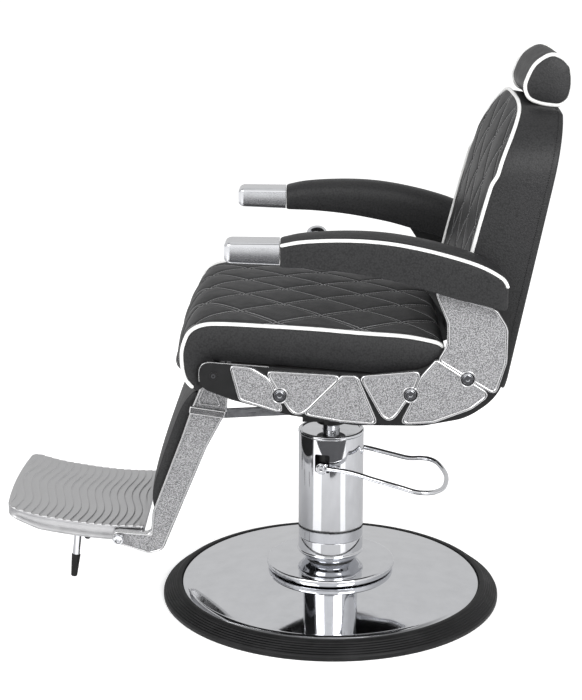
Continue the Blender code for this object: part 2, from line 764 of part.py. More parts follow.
def back_shape(u, v, w):
    """u climbs the back, v goes across, w runs from the rear board to the front."""
    drop = along(BACK_DROP, abs(v))
    front_top = BACK_TOP_Z - drop
    rear_top = min(BOARD_TOP_Z, front_top)
    z = 598 + (rear_top + (front_top - rear_top) * w - 598) * u
    front = along(BACK_EDGE, z) - (4 + 5 * max(0, (z - 985) / 59)) * crown(v)
    if w == 1:
        puff = QUILT_PUFF * quilt(z - 740, v * BACK_HALF)
        front -= puff * min(1, crown(v) * 2.5) * min(1, 8 * (1 - u))
    rear = board_x(z) - GAP
    x = rear + (front - rear) * w
    y = v * (BACK_HALF - 3 + 3 * math.sin(math.pi * w))
    return (x, y, z)


def back_cushion():
    us = list(np.linspace(0, 0.96, 16)) + [1.0]
    half = [0.1, 0.2, 0.3, 0.4, 0.5, 0.6, 0.68, 0.76, 0.83, 0.885, 0.93, 0.965, 0.985, 1.0]
    vs = [-v for v in half[::-1]] + [0.0] + half
    shaped_block("back_cushion", us, vs, [0, 0.5, 1], back_shape, "back", "leather")


def back_shell():
    """Upholstered rear board with a groove for the headrest's stem."""
    rings = []
    for z, thick, inset in ((508, 9, 14), (518, 14, 5), (534, 18, 1), (600, 19, 0), (800, 19, 0),
                            (908, 19, 0), (930, 19, 3), (952, 19, 8), (972, 19, 16), (986, 18, 24),
                            (1001, 18, 35), (1013, 16, 49), (1023, 11, 68)):
        front = board_x(z)
        half = BACK_HALF - inset
        edge = 5.0
        rings.append([(front, -half, z), (front, half, z), (front + thick - edge, half, z),
                      (front + thick, half - edge, z), (front + thick, -half + edge, z),
                      (front + thick - edge, -half, z)])
    shell = loft("back_shell", rings, "back", "leather")
    lean = math.atan(BACK_LEAN)
    groove = box("stem_groove", (board_x(920) - 9, -17, 920 - 180), (board_x(920) + 9, 17, 920 + 180),
                 "back", None, turn=(0, lean, 0))
    boolean(shell, groove)


def back_frame():
    """Weldment on the recline shaft: a tube, two link cranks and the lock's slotted lever."""
    ax, az = BACK_AXIS
    tube = [(10 + GAP, 474), (14, 474), (14, 0), (10 + GAP, 0)]
    weldment = turned("back_crank", tube, "back", "black_steel", (ax, -237, az),
                      (-math.pi / 2, 0, 0), 16, True)
    bracket = [(ax - 24, az - 24, 22), (ax + 28, az - 24, 22), (ax + 64, az + 40, 30),
               (ax + 72, az + 104, 14), (ax + 30, az + 104, 14), (ax - 10, az + 50, 30),
               (ax - 24, az + 14, 20)]
    crank_x, crank_z = CRANK
    crank = [(ax - 20, az + 18, 18), (ax + 20, az + 18, 18),
             (ax + crank_x + 14, az + crank_z - 13, 13), (ax + crank_x - 14, az + crank_z - 13, 13)]
    for name, side in SIDES:
        low, high = sorted((side * (BACK_HALF + GAP), side * (BACK_HALF + 7)))
        plate = outline_solid("back_bracket_" + name, rounded(bracket, 3), low, high, "back",
                              "black_steel")
        boolean(plate, axis_hole("bracket_hole_" + name, ax, az, 10 + GAP, "back"))
        low, high = sorted((side * LEG_IN_Y, side * (LEG_IN_Y + 8)))
        plate = outline_solid("link_crank_" + name, rounded(crank, 2), low, high, "back", None)
        boolean(plate, axis_hole("crank_hole_" + name, ax, az, 12, "back"))
        boolean(plate, axis_hole("crank_pin_" + name, ax + crank_x, az + crank_z, 6 + GAP, "back"))
        boolean(weldment, plate, "UNION")
    boolean(weldment, lock_lever(ax, az), "UNION")


def axis_hole(name, x, z, radius, body):
    return rod(name, radius, (x, -300, z), (x, 300, z), "Y", body, None)


def lock_lever(ax, az):
    """Lever whose slot takes the lock rod's pin."""
    drop = az - LOCK_Z
    reach = drop / math.cos(LOCK_HALF_SWING)
    sin, cos = math.sin(LOCK_HALF_SWING), math.cos(LOCK_HALF_SWING)

    def spot(r, across):
        return (ax + r * sin + across * cos, az - r * cos + across * sin)

    arm = [(*spot(-18, -20), 18), (*spot(-18, 20), 18), (*spot(reach + 16, 15), 14),
           (*spot(reach + 16, -15), 14)]
    lever = outline_solid("lock_lever", rounded(arm[::-1], 2), 9, 15, "back", None)
    boolean(lever, axis_hole("lever_hole", ax, az, 12, "back"))
    slot = [(*spot(drop - 8, -6.8), 5), (*spot(drop - 8, 6.8), 5), (*spot(reach + 8, 6.8), 5),
            (*spot(reach + 8, -6.8), 5)]
    return boolean(lever, outline_solid("lever_slot", rounded(slot[::-1], 2), 0, 24, "back", None))


def recline_lock():
    """Lock cylinder hung under the cross tubes; its rod's pin rides in the lever's slot."""
    drop = BACK_AXIS[1] - LOCK_Z
    pin_x = BACK_AXIS[0] + drop * math.tan(LOCK_HALF_SWING)
    tube = [(0, 15), (10, 15), (10, 250), (7.5, 250), (7.5, 260), (15, 260), (16, 259), (16, 1),
            (15, 0), (0, 0)]
    cylinder = turned("recline_cylinder", tube, "seat", "black_steel", (-110, 0, LOCK_Z),
                      (0, math.pi / 2, 0), 18)
    for x, top in ((-99, 491.7), (140, 505.7)):
        lug = box("lug", (x - 6, -8, LOCK_Z + 12), (x + 6, 8, top), "seat", None)
        boolean(cylinder, lug, "UNION")
    length = pin_x + 8 - 62
    shank = [(0, length), (6, length), (6, 12), (9.7, 11), (9.7, 0), (0, 0)]
    bar = turned("recline_rod", shank, "lock", "steel", (62, 0, LOCK_Z), (0, math.pi / 2, 0), 14)
    pin = rod("lock_pin", 5, (pin_x, 0, LOCK_Z), (pin_x, 19, LOCK_Z), "Y", "lock", None, 12)
    boolean(bar, pin, "UNION")


# ---------------------------------------------------------------- headrest

HEAD_OUTLINE = ((367, 1049, 16), (366, 1082, 40), (380, 1119, 26), (408, 1132, 30),
                (444, 1109, 24), (451, 1082, 30), (444, 1047, 16), (424, 1038, 16), (388, 1039, 16))


def headrest():
    section = rounded(HEAD_OUTLINE, 2)
    middle = (409.0, 1079.0)
    rings = []
    for y, scale in ((-HEAD_HALF, 0.96), (-HEAD_HALF + 4, 1.0), (-70, 1.015), (-30, 1.02), (30, 1.02),
                     (70, 1.015), (HEAD_HALF - 4, 1.0), (HEAD_HALF, 0.96)):
        ring = []
        for x, z in section:
            grow = 1 + (scale - 1) * (1.0 if z > middle[1] else 0.2)
            ring.append((middle[0] + (x - middle[0]) * scale, y, middle[1] + (z - middle[1]) * grow))
        rings.append(ring)
    cushion = loft("headrest_cushion", rings, "headrest", "leather")
    lean = math.atan(BACK_LEAN)
    foot, top = 830.0, 1062.0
    centre = (foot + top) / 2
    x = board_x(centre) + 3.6
    half = (top - foot) / 2 / math.cos(lean)
    stem = box("headrest_stem", (x - 3, -15, centre - half), (x + 3, 15, centre + half),
               "headrest", "steel", turn=(0, lean, 0))
    pocket = box("stem_pocket", (x - 3 - GAP, -15 - GAP, centre - half),
                 (x + 3 + GAP, 15 + GAP, centre + half + 2), "headrest", None, turn=(0, lean, 0))
    boolean(cushion, pocket)
    return stem


# ---------------------------------------------------------------- legrest

LEG_ARM = ((-246, 570, 20), (-202, 570, 20), (-206, 500, 20), (-203, 472, 6), (-204, 450, 8),
           (-244, 376, 60), (-334, 160, 22), (-362, 153, 20), (-437, 178, 12), (-430, 201, 12),
           (-357, 196, 12), (-353, 240, 16), (-292, 400, 60), (-272, 458, 30), (-250, 508, 20))


def legrest():
    for name, side in SIDES:
        low, high = sorted((side * LEG_IN_Y, side * LEG_OUT_Y))
        arm = outline_solid("legrest_arm_" + name, rounded(LEG_ARM, 2), low, high, "legrest", "cast")
        tray_face(arm, side, 6.0, 1.5, 2.2)
        pin = (LEG_AXIS[0] + CRANK[0], LEG_AXIS[1] + CRANK[1])
        boolean(arm, axis_hole("leg_hole_" + name, *LEG_AXIS, 8 + GAP, "legrest"))
        boolean(arm, axis_hole("leg_pin_" + name, *pin, 6 + GAP, "legrest"))
        boolean(arm, axis_hole("leg_foot_" + name, *FOOT_AXIS, 5 + GAP, "legrest"))
    reach = LEG_IN_Y - GAP
    rod("legrest_bar", 9, (-268, -reach, 360), (-268, reach, 360), "Y", "legrest", "steel", 16)


def calf_shape(u, v, w):
    """u climbs the pad, v goes across, w runs from its back to its crowned front."""
    z = 236 + (482 - 236) * u
    front = along(((236, -357), (276, -353), (332, -338), (418, -308), (482, -286)), z)
    back = front + 34
    ends = (1 - abs(2 * u - 1) ** 6)
    x = back + (front - back) * w * (0.55 + 0.45 * ends)
    x -= 5 * crown(v) * w * ends
    y = v * (162 + 3 * math.sin(math.pi * w))
    return (x, y, z)


def calf_pad():
    us = [0, 0.04, 0.12, 0.3, 0.5, 0.7, 0.88, 0.96, 1]
    vs = [-1, -0.94, -0.75, -0.4, 0, 0.4, 0.75, 0.94, 1]
    pad = shaped_block("calf_pad", us, vs, [0, 0.5, 1], calf_shape, "legrest", "leather")
    groove = rod("bar_groove", 9 + GAP, (-268, -200, 360), (-268, 200, 360), "Y", "legrest", None, 16)
    boolean(pad, groove)


def link_bars():
    front = (LEG_AXIS[0] + CRANK[0], LEG_AXIS[1] + CRANK[1])
    rear = (BACK_AXIS[0] + CRANK[0], BACK_AXIS[1] + CRANK[1])
    half = 9.0
    corners = [(front[0] - 12, front[1] - half, 9), (rear[0] + 12, rear[1] - half, 9),
               (rear[0] + 12, rear[1] + half, 9), (front[0] - 12, front[1] + half, 9)]
    for name, side in SIDES:
        low, high = sorted((side * (LEG_IN_Y - 7), side * (LEG_IN_Y - 1)))
        bar = outline_solid("link_bar_" + name, rounded(corners, 2), low, high, "link", "steel")
        for end, (x, z) in (("front", front), ("rear", rear)):
            start = (x, side * (LEG_IN_Y - 4), z)
            finish = (x, side * (LEG_IN_Y + 7), z)
            low_end, high_end = sorted((start, finish), key=lambda p: p[1])
            pin = rod(f"link_pin_{name}_{end}", 6, low_end, high_end, "Y", "link", None, 12)
            boolean(bar, pin, "UNION")


# ---------------------------------------------------------------- footplate

FOOT_TOP = ((-642, 247), (-600, 234), (-566, 226), (-499, 215), (-441, 209), (-372, 207))


def foot_bow(x, y):
    """The front edge bows forwards; the bow dies away towards the rear."""
    ahead = max(0, (-500 - x) / 142)
    return x - 10 * ahead * (1 - (y / FOOT_HALF) ** 2)


def footplate():
    """Cast plate with wavy cross ribs on top and a deep flange on both sides."""
    ridges = int((642 - 372) / RIB_PITCH)
    xs = [-642 + (642 - 372) * k / (2 * ridges) for k in range(2 * ridges + 1)]
    ys = list(np.linspace(-FOOT_HALF, FOOT_HALF, 13))
    under = [(-FOOT_HALF, 29), (-FOOT_HALF + 9, 29), (-FOOT_HALF + 10, 13), (FOOT_HALF - 10, 13),
             (FOOT_HALF - 9, 29), (FOOT_HALF, 29)]
    verts = []
    for k, x in enumerate(xs):
        inside = 0 < k < len(xs) - 1
        for y in ys:
            wave = RIB_WAVE * math.cos(2 * math.pi * y / RIB_WAVELENGTH) if inside else 0
            flat_edge = 1 if abs(y) < FOOT_HALF - 1 else 0
            ridge = RIB_H * (k % 2) * flat_edge
            px = x + wave * min(1, k / 2, (len(xs) - 1 - k) / 2)
            verts.append((foot_bow(px, y), y, along(FOOT_TOP, px) - RIB_H + ridge))
        for y, deep in under:
            shallow = min(1, 0.62 + 0.38 * (x + 642) / 60)
            verts.append((foot_bow(x, y), y, along(FOOT_TOP, x) - RIB_H - deep * shallow))
    wide = len(ys)
    row = wide + len(under)
    faces = []
    for k in range(len(xs) - 1):
        a, b = k * row, (k + 1) * row
        for j in range(wide - 1):
            faces.append((a + j, a + j + 1, b + j + 1, b + j))
        for j in range(len(under) - 1):
            c = wide + j
            faces.append((a + c, b + c, b + c + 1, a + c + 1))
        faces.append((a, b, b + wide, a + wide))
        faces.append((a + wide - 1, a + row - 1, b + row - 1, b + wide - 1))
    for start in (0, (len(xs) - 1) * row):
        top = [start + j for j in range(wide)]
        bottom = [start + wide + j for j in range(len(under))]
        faces.append(tuple(top + bottom[::-1]))
    smooth(mesh_object("footplate", verts, faces, "foot", "cast"), 30)


def foot_fittings():
    """Hinge bolts through the legrest's feet, and two short props with rubber ends."""
    x, z = FOOT_AXIS
    for name, side in SIDES:
        turn = (-side * math.pi / 2, 0, 0)
        start = FOOT_HALF + GAP
        shank = LEG_OUT_Y - start + GAP
        profile = [(0, shank + 6), (9, shank + 6), (10, shank + 5), (10, shank), (5, shank), (5, 0),
                   (0, 0)]
        head = turned("foot_bolt_" + name, profile, "foot", "chrome", (x, side * start, z), turn, 14)
        at = (x, side * (start + shank + 3), z)
        socket = turned("foot_socket_" + name, [(0, 9), (4.4, 9), (4.4, 0), (0, 0)], "foot", None,
                        at, turn, 6)
        boolean(head, socket)
        prop(name, side)


def prop(name, side):
    top = (-509.0, 200.5)
    low = (-524.5, 72.0)
    lean = math.atan2(top[0] - low[0], top[1] - low[1])
    length = math.hypot(top[0] - low[0], top[1] - low[1])
    turn = (0, lean, 0)
    at = (low[0], side * 104, low[1])
    tip = [(0, 48), (7.2, 48), (7.2, 44), (5.4, 2), (4, 0), (0, 0)]
    turned("foot_tip_" + name, tip, "foot", "rubber", at, turn, 12)
    direction = Vector((math.sin(lean), 0, math.cos(lean)))
    start = Vector(at) + direction * (48 + GAP)
    reach = length - 48 - 2 * GAP
    bar = [(0, reach), (5.8, reach), (5.8, 0.8), (5, 0), (0, 0)]
    turned("foot_leg_" + name, bar, "foot", "chrome", start, turn, 12)


# ---------------------------------------------------------------- recline lever

def recline_lever():
    """Rod on a hub at the sitter's right, with a round-topped knob below the arm."""
    x, y, z = BODIES["lever"][1]
    lean = -math.radians(4.4)
    hub = [(0, 34), (12, 34), (14, 32), (14, 20), (5, 20), (5, 0), (0, 0)]
    start = (x, INLAY_Y + GAP - 20, z)
    lever = turned("recline_lever", hub, "lever", "black_steel", start, (-math.pi / 2, 0, 0))
    bar = rod("lever_bar", 4.5, (x, y, z), (x, y, z + 198), "Z", "lever", None, 12)
    bar.rotation_euler = (0, lean, 0)
    boolean(lever, bar, "UNION")
    knob = [(0, 32), (10, 31), (18, 26), (23, 16), (22, 8), (10, 1), (0, 0)]
    reach = 198 + GAP
    top = (x + reach * math.sin(lean), y, z + reach * math.cos(lean))
    turned("lever_knob", knob, "lever", "chrome", top, (0, lean, 0), 16)


def build():
    base_plate()
    base_rim()
    base_cover()
    base_skirt()
    pump_cylinder()
    pump_cover()
    pump_cap()
    piston_rod()
    pedal()
    swivel_head()
    seat_frame()
    seat_pan()
    side_panels()
    shafts()
    arms()
    seat_cushion()
    back_cushion()
    back_shell()
    back_frame()
    recline_lock()
    headrest()
    legrest()
    calf_pad()
    link_bars()
    footplate()
    foot_fittings()
    recline_lever()


build()
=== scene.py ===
"""Black quilted barber chair on a chrome pump base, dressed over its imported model.

Sizes are millimetres in the model's frame: the chair faces -X, +Z is up, the sitter's right is +Y.
"""

import math

import bmesh
import bpy
import numpy as np
from mathutils import Matrix, Vector

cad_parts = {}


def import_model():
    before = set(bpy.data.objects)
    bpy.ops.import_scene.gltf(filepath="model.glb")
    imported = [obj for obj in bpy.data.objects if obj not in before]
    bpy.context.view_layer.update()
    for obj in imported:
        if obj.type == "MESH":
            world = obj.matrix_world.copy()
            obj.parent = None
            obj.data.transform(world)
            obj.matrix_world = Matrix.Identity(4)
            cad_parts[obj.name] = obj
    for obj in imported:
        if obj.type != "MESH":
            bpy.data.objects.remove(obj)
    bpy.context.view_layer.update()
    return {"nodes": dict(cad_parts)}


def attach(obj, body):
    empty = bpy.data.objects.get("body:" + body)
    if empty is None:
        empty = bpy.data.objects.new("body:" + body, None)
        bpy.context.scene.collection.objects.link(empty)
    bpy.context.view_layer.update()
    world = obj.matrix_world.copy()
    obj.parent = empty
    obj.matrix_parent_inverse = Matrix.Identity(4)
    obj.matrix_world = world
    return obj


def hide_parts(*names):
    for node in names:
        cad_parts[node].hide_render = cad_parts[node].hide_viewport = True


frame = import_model()
MM = 0.001
SIDES = (("left", -1), ("right", 1))


# ---- camera

def new_object(name, data):
    obj = bpy.data.objects.new(name, data)
    bpy.context.scene.collection.objects.link(obj)
    return obj


def make_camera():
    data = bpy.data.cameras.new("camera")
    data.sensor_width = 36.0
    data.lens = 89.47
    data.clip_start = 0.05
    data.clip_end = 60.0
    camera = new_object("camera", data)
    camera.location = (-0.0222, -3.4073, 1.4541)
    camera.rotation_euler = (math.radians(90 - 15.271), 0, math.radians(1.017))
    bpy.context.scene.camera = camera


make_camera()


# ---- material helpers

def linear(colour):
    """An sRGB hex colour as linear RGBA."""
    parts = [int(colour[i:i + 2], 16) / 255 for i in (1, 3, 5)]
    return (*[c / 12.92 if c <= 0.04045 else ((c + 0.055) / 1.055) ** 2.4 for c in parts], 1)


def add_node(tree, kind, inputs=None, **settings):
    """A shader node with its settings; an input is a number, a colour or another node's socket."""
    node = tree.nodes.new("ShaderNode" + kind)
    for key, value in settings.items():
        setattr(node, key, value)
    for key, value in (inputs or {}).items():
        if isinstance(value, bpy.types.NodeSocket):
            tree.links.new(value, node.inputs[key])
        else:
            node.inputs[key].default_value = value
    return node


def new_material(name, **sockets):
    """A material, and its coordinates in millimetres."""
    mat = bpy.data.materials.new(name)
    mat.use_nodes = True
    tree = mat.node_tree
    for key, value in sockets.items():
        tree.nodes["Principled BSDF"].inputs[key.replace("_", " ")].default_value = value
    own = add_node(tree, "TexCoord").outputs["Object"]
    scaled = add_node(tree, "VectorMath", {0: own, "Scale": 1 / MM}, operation="SCALE")
    return mat, scaled.outputs[0]


def noise(where, size, detail=3.0, rough=0.5):
    """Noise with features about `size` millimetres across."""
    inputs = {"Vector": where, "Scale": 1 / size, "Detail": detail, "Roughness": rough}
    return add_node(where.id_data, "TexNoise", inputs).outputs["Fac"]


def cells(where, size):
    """Pebbles about `size` millimetres across: the distance from each one's middle."""
    inputs = {"Vector": where, "Scale": 1 / size}
    return add_node(where.id_data, "TexVoronoi", inputs).outputs["Distance"]


def drawn_out(where, *scale):
    """The coordinates, stretched along the axes whose scale is small."""
    return add_node(where.id_data, "Mapping", {"Vector": where, "Scale": scale}).outputs[0]


def math_node(operation, *values):
    inputs = dict(enumerate(values))
    return add_node(values[0].id_data, "Math", inputs, operation=operation).outputs[0]


def span(value, low, high, to_low=0.0, to_high=1.0):
    """The value's range from low to high, stretched to another range and clamped."""
    inputs = {"Value": value, "From Min": low, "From Max": high, "To Min": to_low,
              "To Max": to_high}
    return add_node(value.id_data, "MapRange", inputs).outputs[0]


def mix_colour(factor, a, b):
    """From colour a to colour b; each is a hex text or a socket."""
    a, b = (linear(colour) if isinstance(colour, str) else colour for colour in (a, b))
    return add_node(factor.id_data, "Mix", {0: factor, 6: a, 7: b}, data_type="RGBA").outputs[2]


def dress(mat, colour, roughness=None, *layers):
    """Links colour, roughness and bumps of (height, distance in millimetres, strength)."""
    tree = mat.node_tree
    shader = tree.nodes["Principled BSDF"]
    tree.links.new(colour, shader.inputs["Base Color"])
    if roughness is not None:
        tree.links.new(roughness, shader.inputs["Roughness"])
    below = {}
    for height, distance, strength in layers:
        inputs = {"Height": height, "Distance": distance * MM, "Strength": strength, **below}
        below = {"Normal": add_node(tree, "Bump", inputs).outputs[0]}
    if below:
        tree.links.new(below["Normal"], shader.inputs["Normal"])
    return mat


# ---- materials

QUILT_LONG = 153.5
QUILT_WIDE = 123.0
ROW_OFFSET = 4.5                # from a seam's line to each of its two stitched rows
STITCH_PITCH = 3.6
LINE_GAP = 1 / math.hypot(1 / QUILT_LONG, 1 / QUILT_WIDE)
LINE_RUN = math.hypot(QUILT_LONG, QUILT_WIDE) / 2


def stitch_mask(tree):
    """Thread and furrow masks of the two dashed rows beside each line of the quilting lattice."""
    uv = add_node(tree, "UVMap", uv_map="quilt")
    parts = add_node(tree, "SeparateXYZ", {0: uv.outputs[0]})
    rows, furrows = [], []
    for across, run in (("X", "Y"), ("Y", "X")):
        ahead = math_node("ADD", parts.outputs[across], 64.0)
        reach = math_node("MULTIPLY", math_node("PINGPONG", ahead, 0.5), LINE_GAP)
        off = math_node("ABSOLUTE", math_node("SUBTRACT", reach, ROW_OFFSET))
        thread = span(off, 0.5, 1.0, 1.0, 0.0)
        furrows.append(math_node("POWER", span(off, 0.0, 3.0), 0.7))
        count = math_node("MULTIPLY", parts.outputs[run], LINE_RUN / STITCH_PITCH)
        centred = math_node("SUBTRACT", math_node("FRACT", count), 0.5)
        dash = span(math_node("ABSOLUTE", centred), 0.30, 0.40, 1.0, 0.0)
        rows.append(math_node("MULTIPLY", thread, dash))
    return math_node("MAXIMUM", *rows), math_node("MINIMUM", *furrows)


def leather_material(name, stitched=False):
    """Black upholstery leather: small pebbles, softer creases, a slightly uneven sheen."""
    mat, where = new_material(name, Specular_IOR_Level=0.32)
    pebbles = cells(where, 3.4)
    creases = noise(where, 26.0, 4.0, 0.55)
    cloudy = noise(where, 90.0, 2.0)
    shade = mix_colour(cloudy, "#272728", "#2e2e2f")
    shade = mix_colour(span(pebbles, 0.35, 0.85), shade, "#1f1f20")
    sheen = span(creases, 0.3, 0.7, 0.46, 0.56)
    layers = [(creases, 1.2, 0.2), (pebbles, 0.5, 0.55), (noise(where, 0.8), 0.08, 0.3)]
    if stitched:
        thread, furrow = stitch_mask(mat.node_tree)
        # Painted shade: the leather darkens towards #19191a along each stitched row, where the
        # furrow's shadow falls.
        shade = mix_colour(span(furrow, 0.0, 0.6), "#19191a", shade)
        shade = mix_colour(thread, shade, "#b4b4b5")
        layers += [(furrow, 1.3, 0.7), (thread, 0.4, 0.5)]
    return dress(mat, shade, sheen, *layers)


def piping_material():
    """White vinyl welt with a faint grain and a little dust in its creases."""
    mat, where = new_material("white_welt", Roughness=0.42)
    grime = noise(where, 18.0, 4.0)
    shade = mix_colour(span(grime, 0.45, 0.75), "#f4f4f3", "#e2e2e0")
    return dress(mat, shade, None, (cells(where, 1.2), 0.12, 0.4))


def chrome_material(name, colour="#dcdde0", rough=0.03, smears=0.04):
    """Chrome plate with faint wiping marks in its gloss."""
    mat, where = new_material(name, Metallic=1.0)
    smear = noise(where, 40.0, 5.0, 0.6)
    gloss = span(smear, 0.35, 0.75, rough, rough + smears)
    shade = mix_colour(span(smear, 0.3, 0.9, 0.0, 0.2), colour, "#8f9093")
    return dress(mat, shade, gloss, (smear, 0.01, 0.1))


def pebbled_material():
    """Sand-textured aluminium face of the castings: coarse bright grain with dark pits."""
    mat, where = new_material("pebbled_aluminium", Metallic=0.3)
    grain = noise(where, 2.0, 3.0, 0.7)
    blotch = noise(where, 16.0, 3.0)
    shade = mix_colour(span(grain, 0.42, 0.60), "#58585a", "#b6b6b8")
    shade = mix_colour(span(blotch, 0.4, 0.8, 0.0, 0.2), shade, "#b5b5b6")
    gloss = span(grain, 0.3, 0.7, 0.66, 0.50)
    return dress(mat, shade, gloss, (grain, 0.9, 0.6), (blotch, 0.4, 0.1))


def polished_material(name, colour="#e4e4e5", rough=0.16):
    """Buffed aluminium: soft waves left by the wheel and fine scratches."""
    mat, where = new_material(name, Metallic=1.0)
    scratch = noise(drawn_out(where, 0.05, 1.0, 1.0), 0.7, 2.0)
    wave = noise(where, 30.0, 2.0)
    gloss = math_node("ADD", span(wave, 0.3, 0.7, rough, rough + 0.1),
                      span(scratch, 0.4, 0.8, 0.0, 0.08))
    shade = mix_colour(wave, colour, "#cfcfd0")
    return dress(mat, shade, gloss, (wave, 0.15, 0.3), (scratch, 0.02, 0.3))


def rubber_material(name, colour="#121213", rough=0.5):
    """Moulded rubber with a dull, slightly dusty skin."""
    mat, where = new_material(name, Specular_IOR_Level=0.25)
    dust = noise(where, 45.0, 5.0, 0.6)
    skin = noise(where, 1.4, 2.0)
    shade = mix_colour(span(dust, 0.45, 0.8), colour, "#262627")
    gloss = span(dust, 0.3, 0.8, rough - 0.08, rough + 0.15)
    return dress(mat, shade, gloss, (skin, 0.08, 0.35))


def paint_material(name, colour="#161617", rough=0.34):
    """Black powder coat with its fine orange peel."""
    mat, where = new_material(name)
    peel = noise(where, 1.8, 2.0)
    worn = noise(where, 22.0, 5.0, 0.7)
    shade = mix_colour(span(worn, 0.6, 0.85, 0.0, 0.6), colour, "#303031")
    gloss = span(worn, 0.3, 0.8, rough, rough + 0.14)
    return dress(mat, shade, gloss, (peel, 0.10, 0.4))


def steel_material(name, colour="#9b9c9f", rough=0.3):
    """Zinc-plated steel with drawn marks along it."""
    mat, where = new_material(name, Metallic=1.0)
    marks = noise(drawn_out(where, 0.04, 0.6, 0.6), 0.9, 3.0)
    patch = noise(where, 12.0, 3.0)
    shade = mix_colour(patch, colour, "#b9babd")
    gloss = span(marks, 0.3, 0.7, rough - 0.06, rough + 0.12)
    return dress(mat, shade, gloss, (marks, 0.03, 0.3))


def board_material():
    """Plywood coloured near black as painted shade, so that its edge in the gap under the cushion
    reads dark: its long grain still shows.
    """
    mat, where = new_material("plywood", Roughness=0.6)
    rings = noise(drawn_out(where, 0.03, 0.5, 0.5), 2.0, 4.0)
    shade = mix_colour(rings, "#1b1918", "#2a2725")
    return dress(mat, shade, None, (rings, 0.1, 0.3))


LEATHER = leather_material("black_leather")
QUILTED = leather_material("quilted_black_leather", stitched=True)
WELT = piping_material()
CHROME = chrome_material("chrome_plate")
CHROME_SATIN = chrome_material("satin_chrome", "#e0e1e4", 0.16, 0.04)
DARK_CHROME = chrome_material("black_chrome", "#c4c5c8", 0.1)
PEBBLED = pebbled_material()
POLISHED = polished_material("polished_aluminium", "#dadadb")
RIBBED = polished_material("ribbed_aluminium", "#c9c9ca", 0.4)
FOOT_EDGE = polished_material("footplate_edge", "#a8a8aa", 0.3)
RUBBER = rubber_material("rim_rubber")
TIP_RUBBER = rubber_material("prop_rubber", "#141414", 0.45)
BLACK_PAINT = paint_material("black_powder_coat")
ZINC = steel_material("zinc_plated_steel", "#838487")
BRIGHT_STEEL = steel_material("ground_steel", "#c9cacd", 0.14)
PLYWOOD = board_material()
THREAD = rubber_material("black_thread", "#0c0c0c", 0.6)


# ---- mesh helpers

def finish_piece(name, mesh, body, materials, nodes=(), sharp=None):
    """The mesh as a piece on its body, shaded smooth, in place of the nodes it stands for."""
    obj = new_object(name, mesh)
    slots = np.zeros(len(mesh.polygons), np.int32)
    mesh.polygons.foreach_get("material_index", slots)
    mesh.materials.clear()
    materials = materials if isinstance(materials, list) else [materials]
    for mat in materials:
        mesh.materials.append(mat)
    mesh.polygons.foreach_set("material_index", np.minimum(slots, len(materials) - 1))
    mesh.shade_smooth()
    if sharp:
        mesh.set_sharp_from_angle(angle=math.radians(sharp))
    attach(obj, body)
    if nodes:
        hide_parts(*nodes)
    return obj


class Skin:
    """Gathers grids of points into one mesh and welds the edges where they meet."""

    def __init__(self, *grids):
        self.points, self.faces, self.slots, self.uvs = [], [], [], []
        self.count = 0
        for grid in grids:
            self.sheet(grid)

    def sheet(self, grid, slot=0, uv=None):
        """Adds a grid of (rows, columns, 3) millimetre points."""
        grid = np.asarray(grid)
        rows, columns = grid.shape[:2]
        index = np.arange(rows * columns).reshape(rows, columns) + self.count
        quads = np.stack([index[:-1, :-1], index[:-1, 1:], index[1:, 1:], index[1:, :-1]], -1)
        self.faces.append(quads.reshape(-1, 4))
        self.slots.append(np.full(len(self.faces[-1]), slot))
        self.points.append(grid.reshape(-1, 3))
        unquilted = np.full((rows * columns, 2), 0.25)
        self.uvs.append(unquilted if uv is None else uv.reshape(-1, 2))
        self.count += rows * columns

    def mesh(self, name, weld=0.02):
        faces = np.concatenate(self.faces)
        mesh = bpy.data.meshes.new(name)
        mesh.from_pydata((np.concatenate(self.points) * MM).tolist(), [], faces.tolist())
        mesh.polygons.foreach_set("material_index", np.concatenate(self.slots).astype(np.int32))
        uvs = np.concatenate(self.uvs)[faces.reshape(-1)].reshape(-1)
        mesh.uv_layers.new(name="quilt").data.foreach_set("uv", uvs.astype(np.float32))
        bm = bmesh.new()
        bm.from_mesh(mesh)
        bmesh.ops.remove_doubles(bm, verts=bm.verts, dist=weld * MM)
        bmesh.ops.dissolve_degenerate(bm, edges=bm.edges, dist=0.001 * MM)
        bmesh.ops.recalc_face_normals(bm, faces=bm.faces)
        bm.to_mesh(mesh)
        bm.free()
        return mesh

    def piece(self, name, body, materials, nodes=(), sharp=None, weld=0.02):
        return finish_piece(name, self.mesh(name, weld), body, materials, nodes, sharp)


def capped(rings):
    """A skin of the rings, closed at both ends from their middles."""
    caps = [[ring, ring * 0 + (ring.min(0) + ring.max(0)) / 2] for ring in (rings[0], rings[-1])]
    return Skin(rings, *caps)


def points_at(x, y, z):
    """Points from their three coordinates, each spread over the shape of the others."""
    return np.stack(np.broadcast_arrays(x, y, z), -1)


def between(a, b, share):
    return a * (1 - share) + b * share


def arc(start, corner, end, t):
    """A corner's rounding, from the start at t = 0 to the end at t = 1."""
    return start * (1 - t) ** 2 + corner * 2 * t * (1 - t) + end * t ** 2


def curve_through(points, count):
    """A smooth curve through the points, as evenly spaced samples (Catmull-Rom)."""
    p = np.array(points, float)
    p = np.vstack([2 * p[0] - p[1], p, 2 * p[-1] - p[-2]])
    fine = []
    for i in range(1, len(p) - 2):
        t = np.linspace(0, 1, 24, endpoint=False)[:, None]
        fine.append(0.5 * (2 * p[i] + (p[i + 1] - p[i - 1]) * t
                           + (2 * p[i - 1] - 5 * p[i] + 4 * p[i + 1] - p[i + 2]) * t ** 2
                           + (3 * p[i] - p[i - 1] - 3 * p[i + 1] + p[i + 2]) * t ** 3))
    fine.append(p[-2][None])
    return even(np.concatenate(fine), count)


def run_length(points):
    """How far along the line each of its points lies."""
    return np.concatenate([[0], np.cumsum(np.linalg.norm(np.diff(points, axis=0), axis=1))])


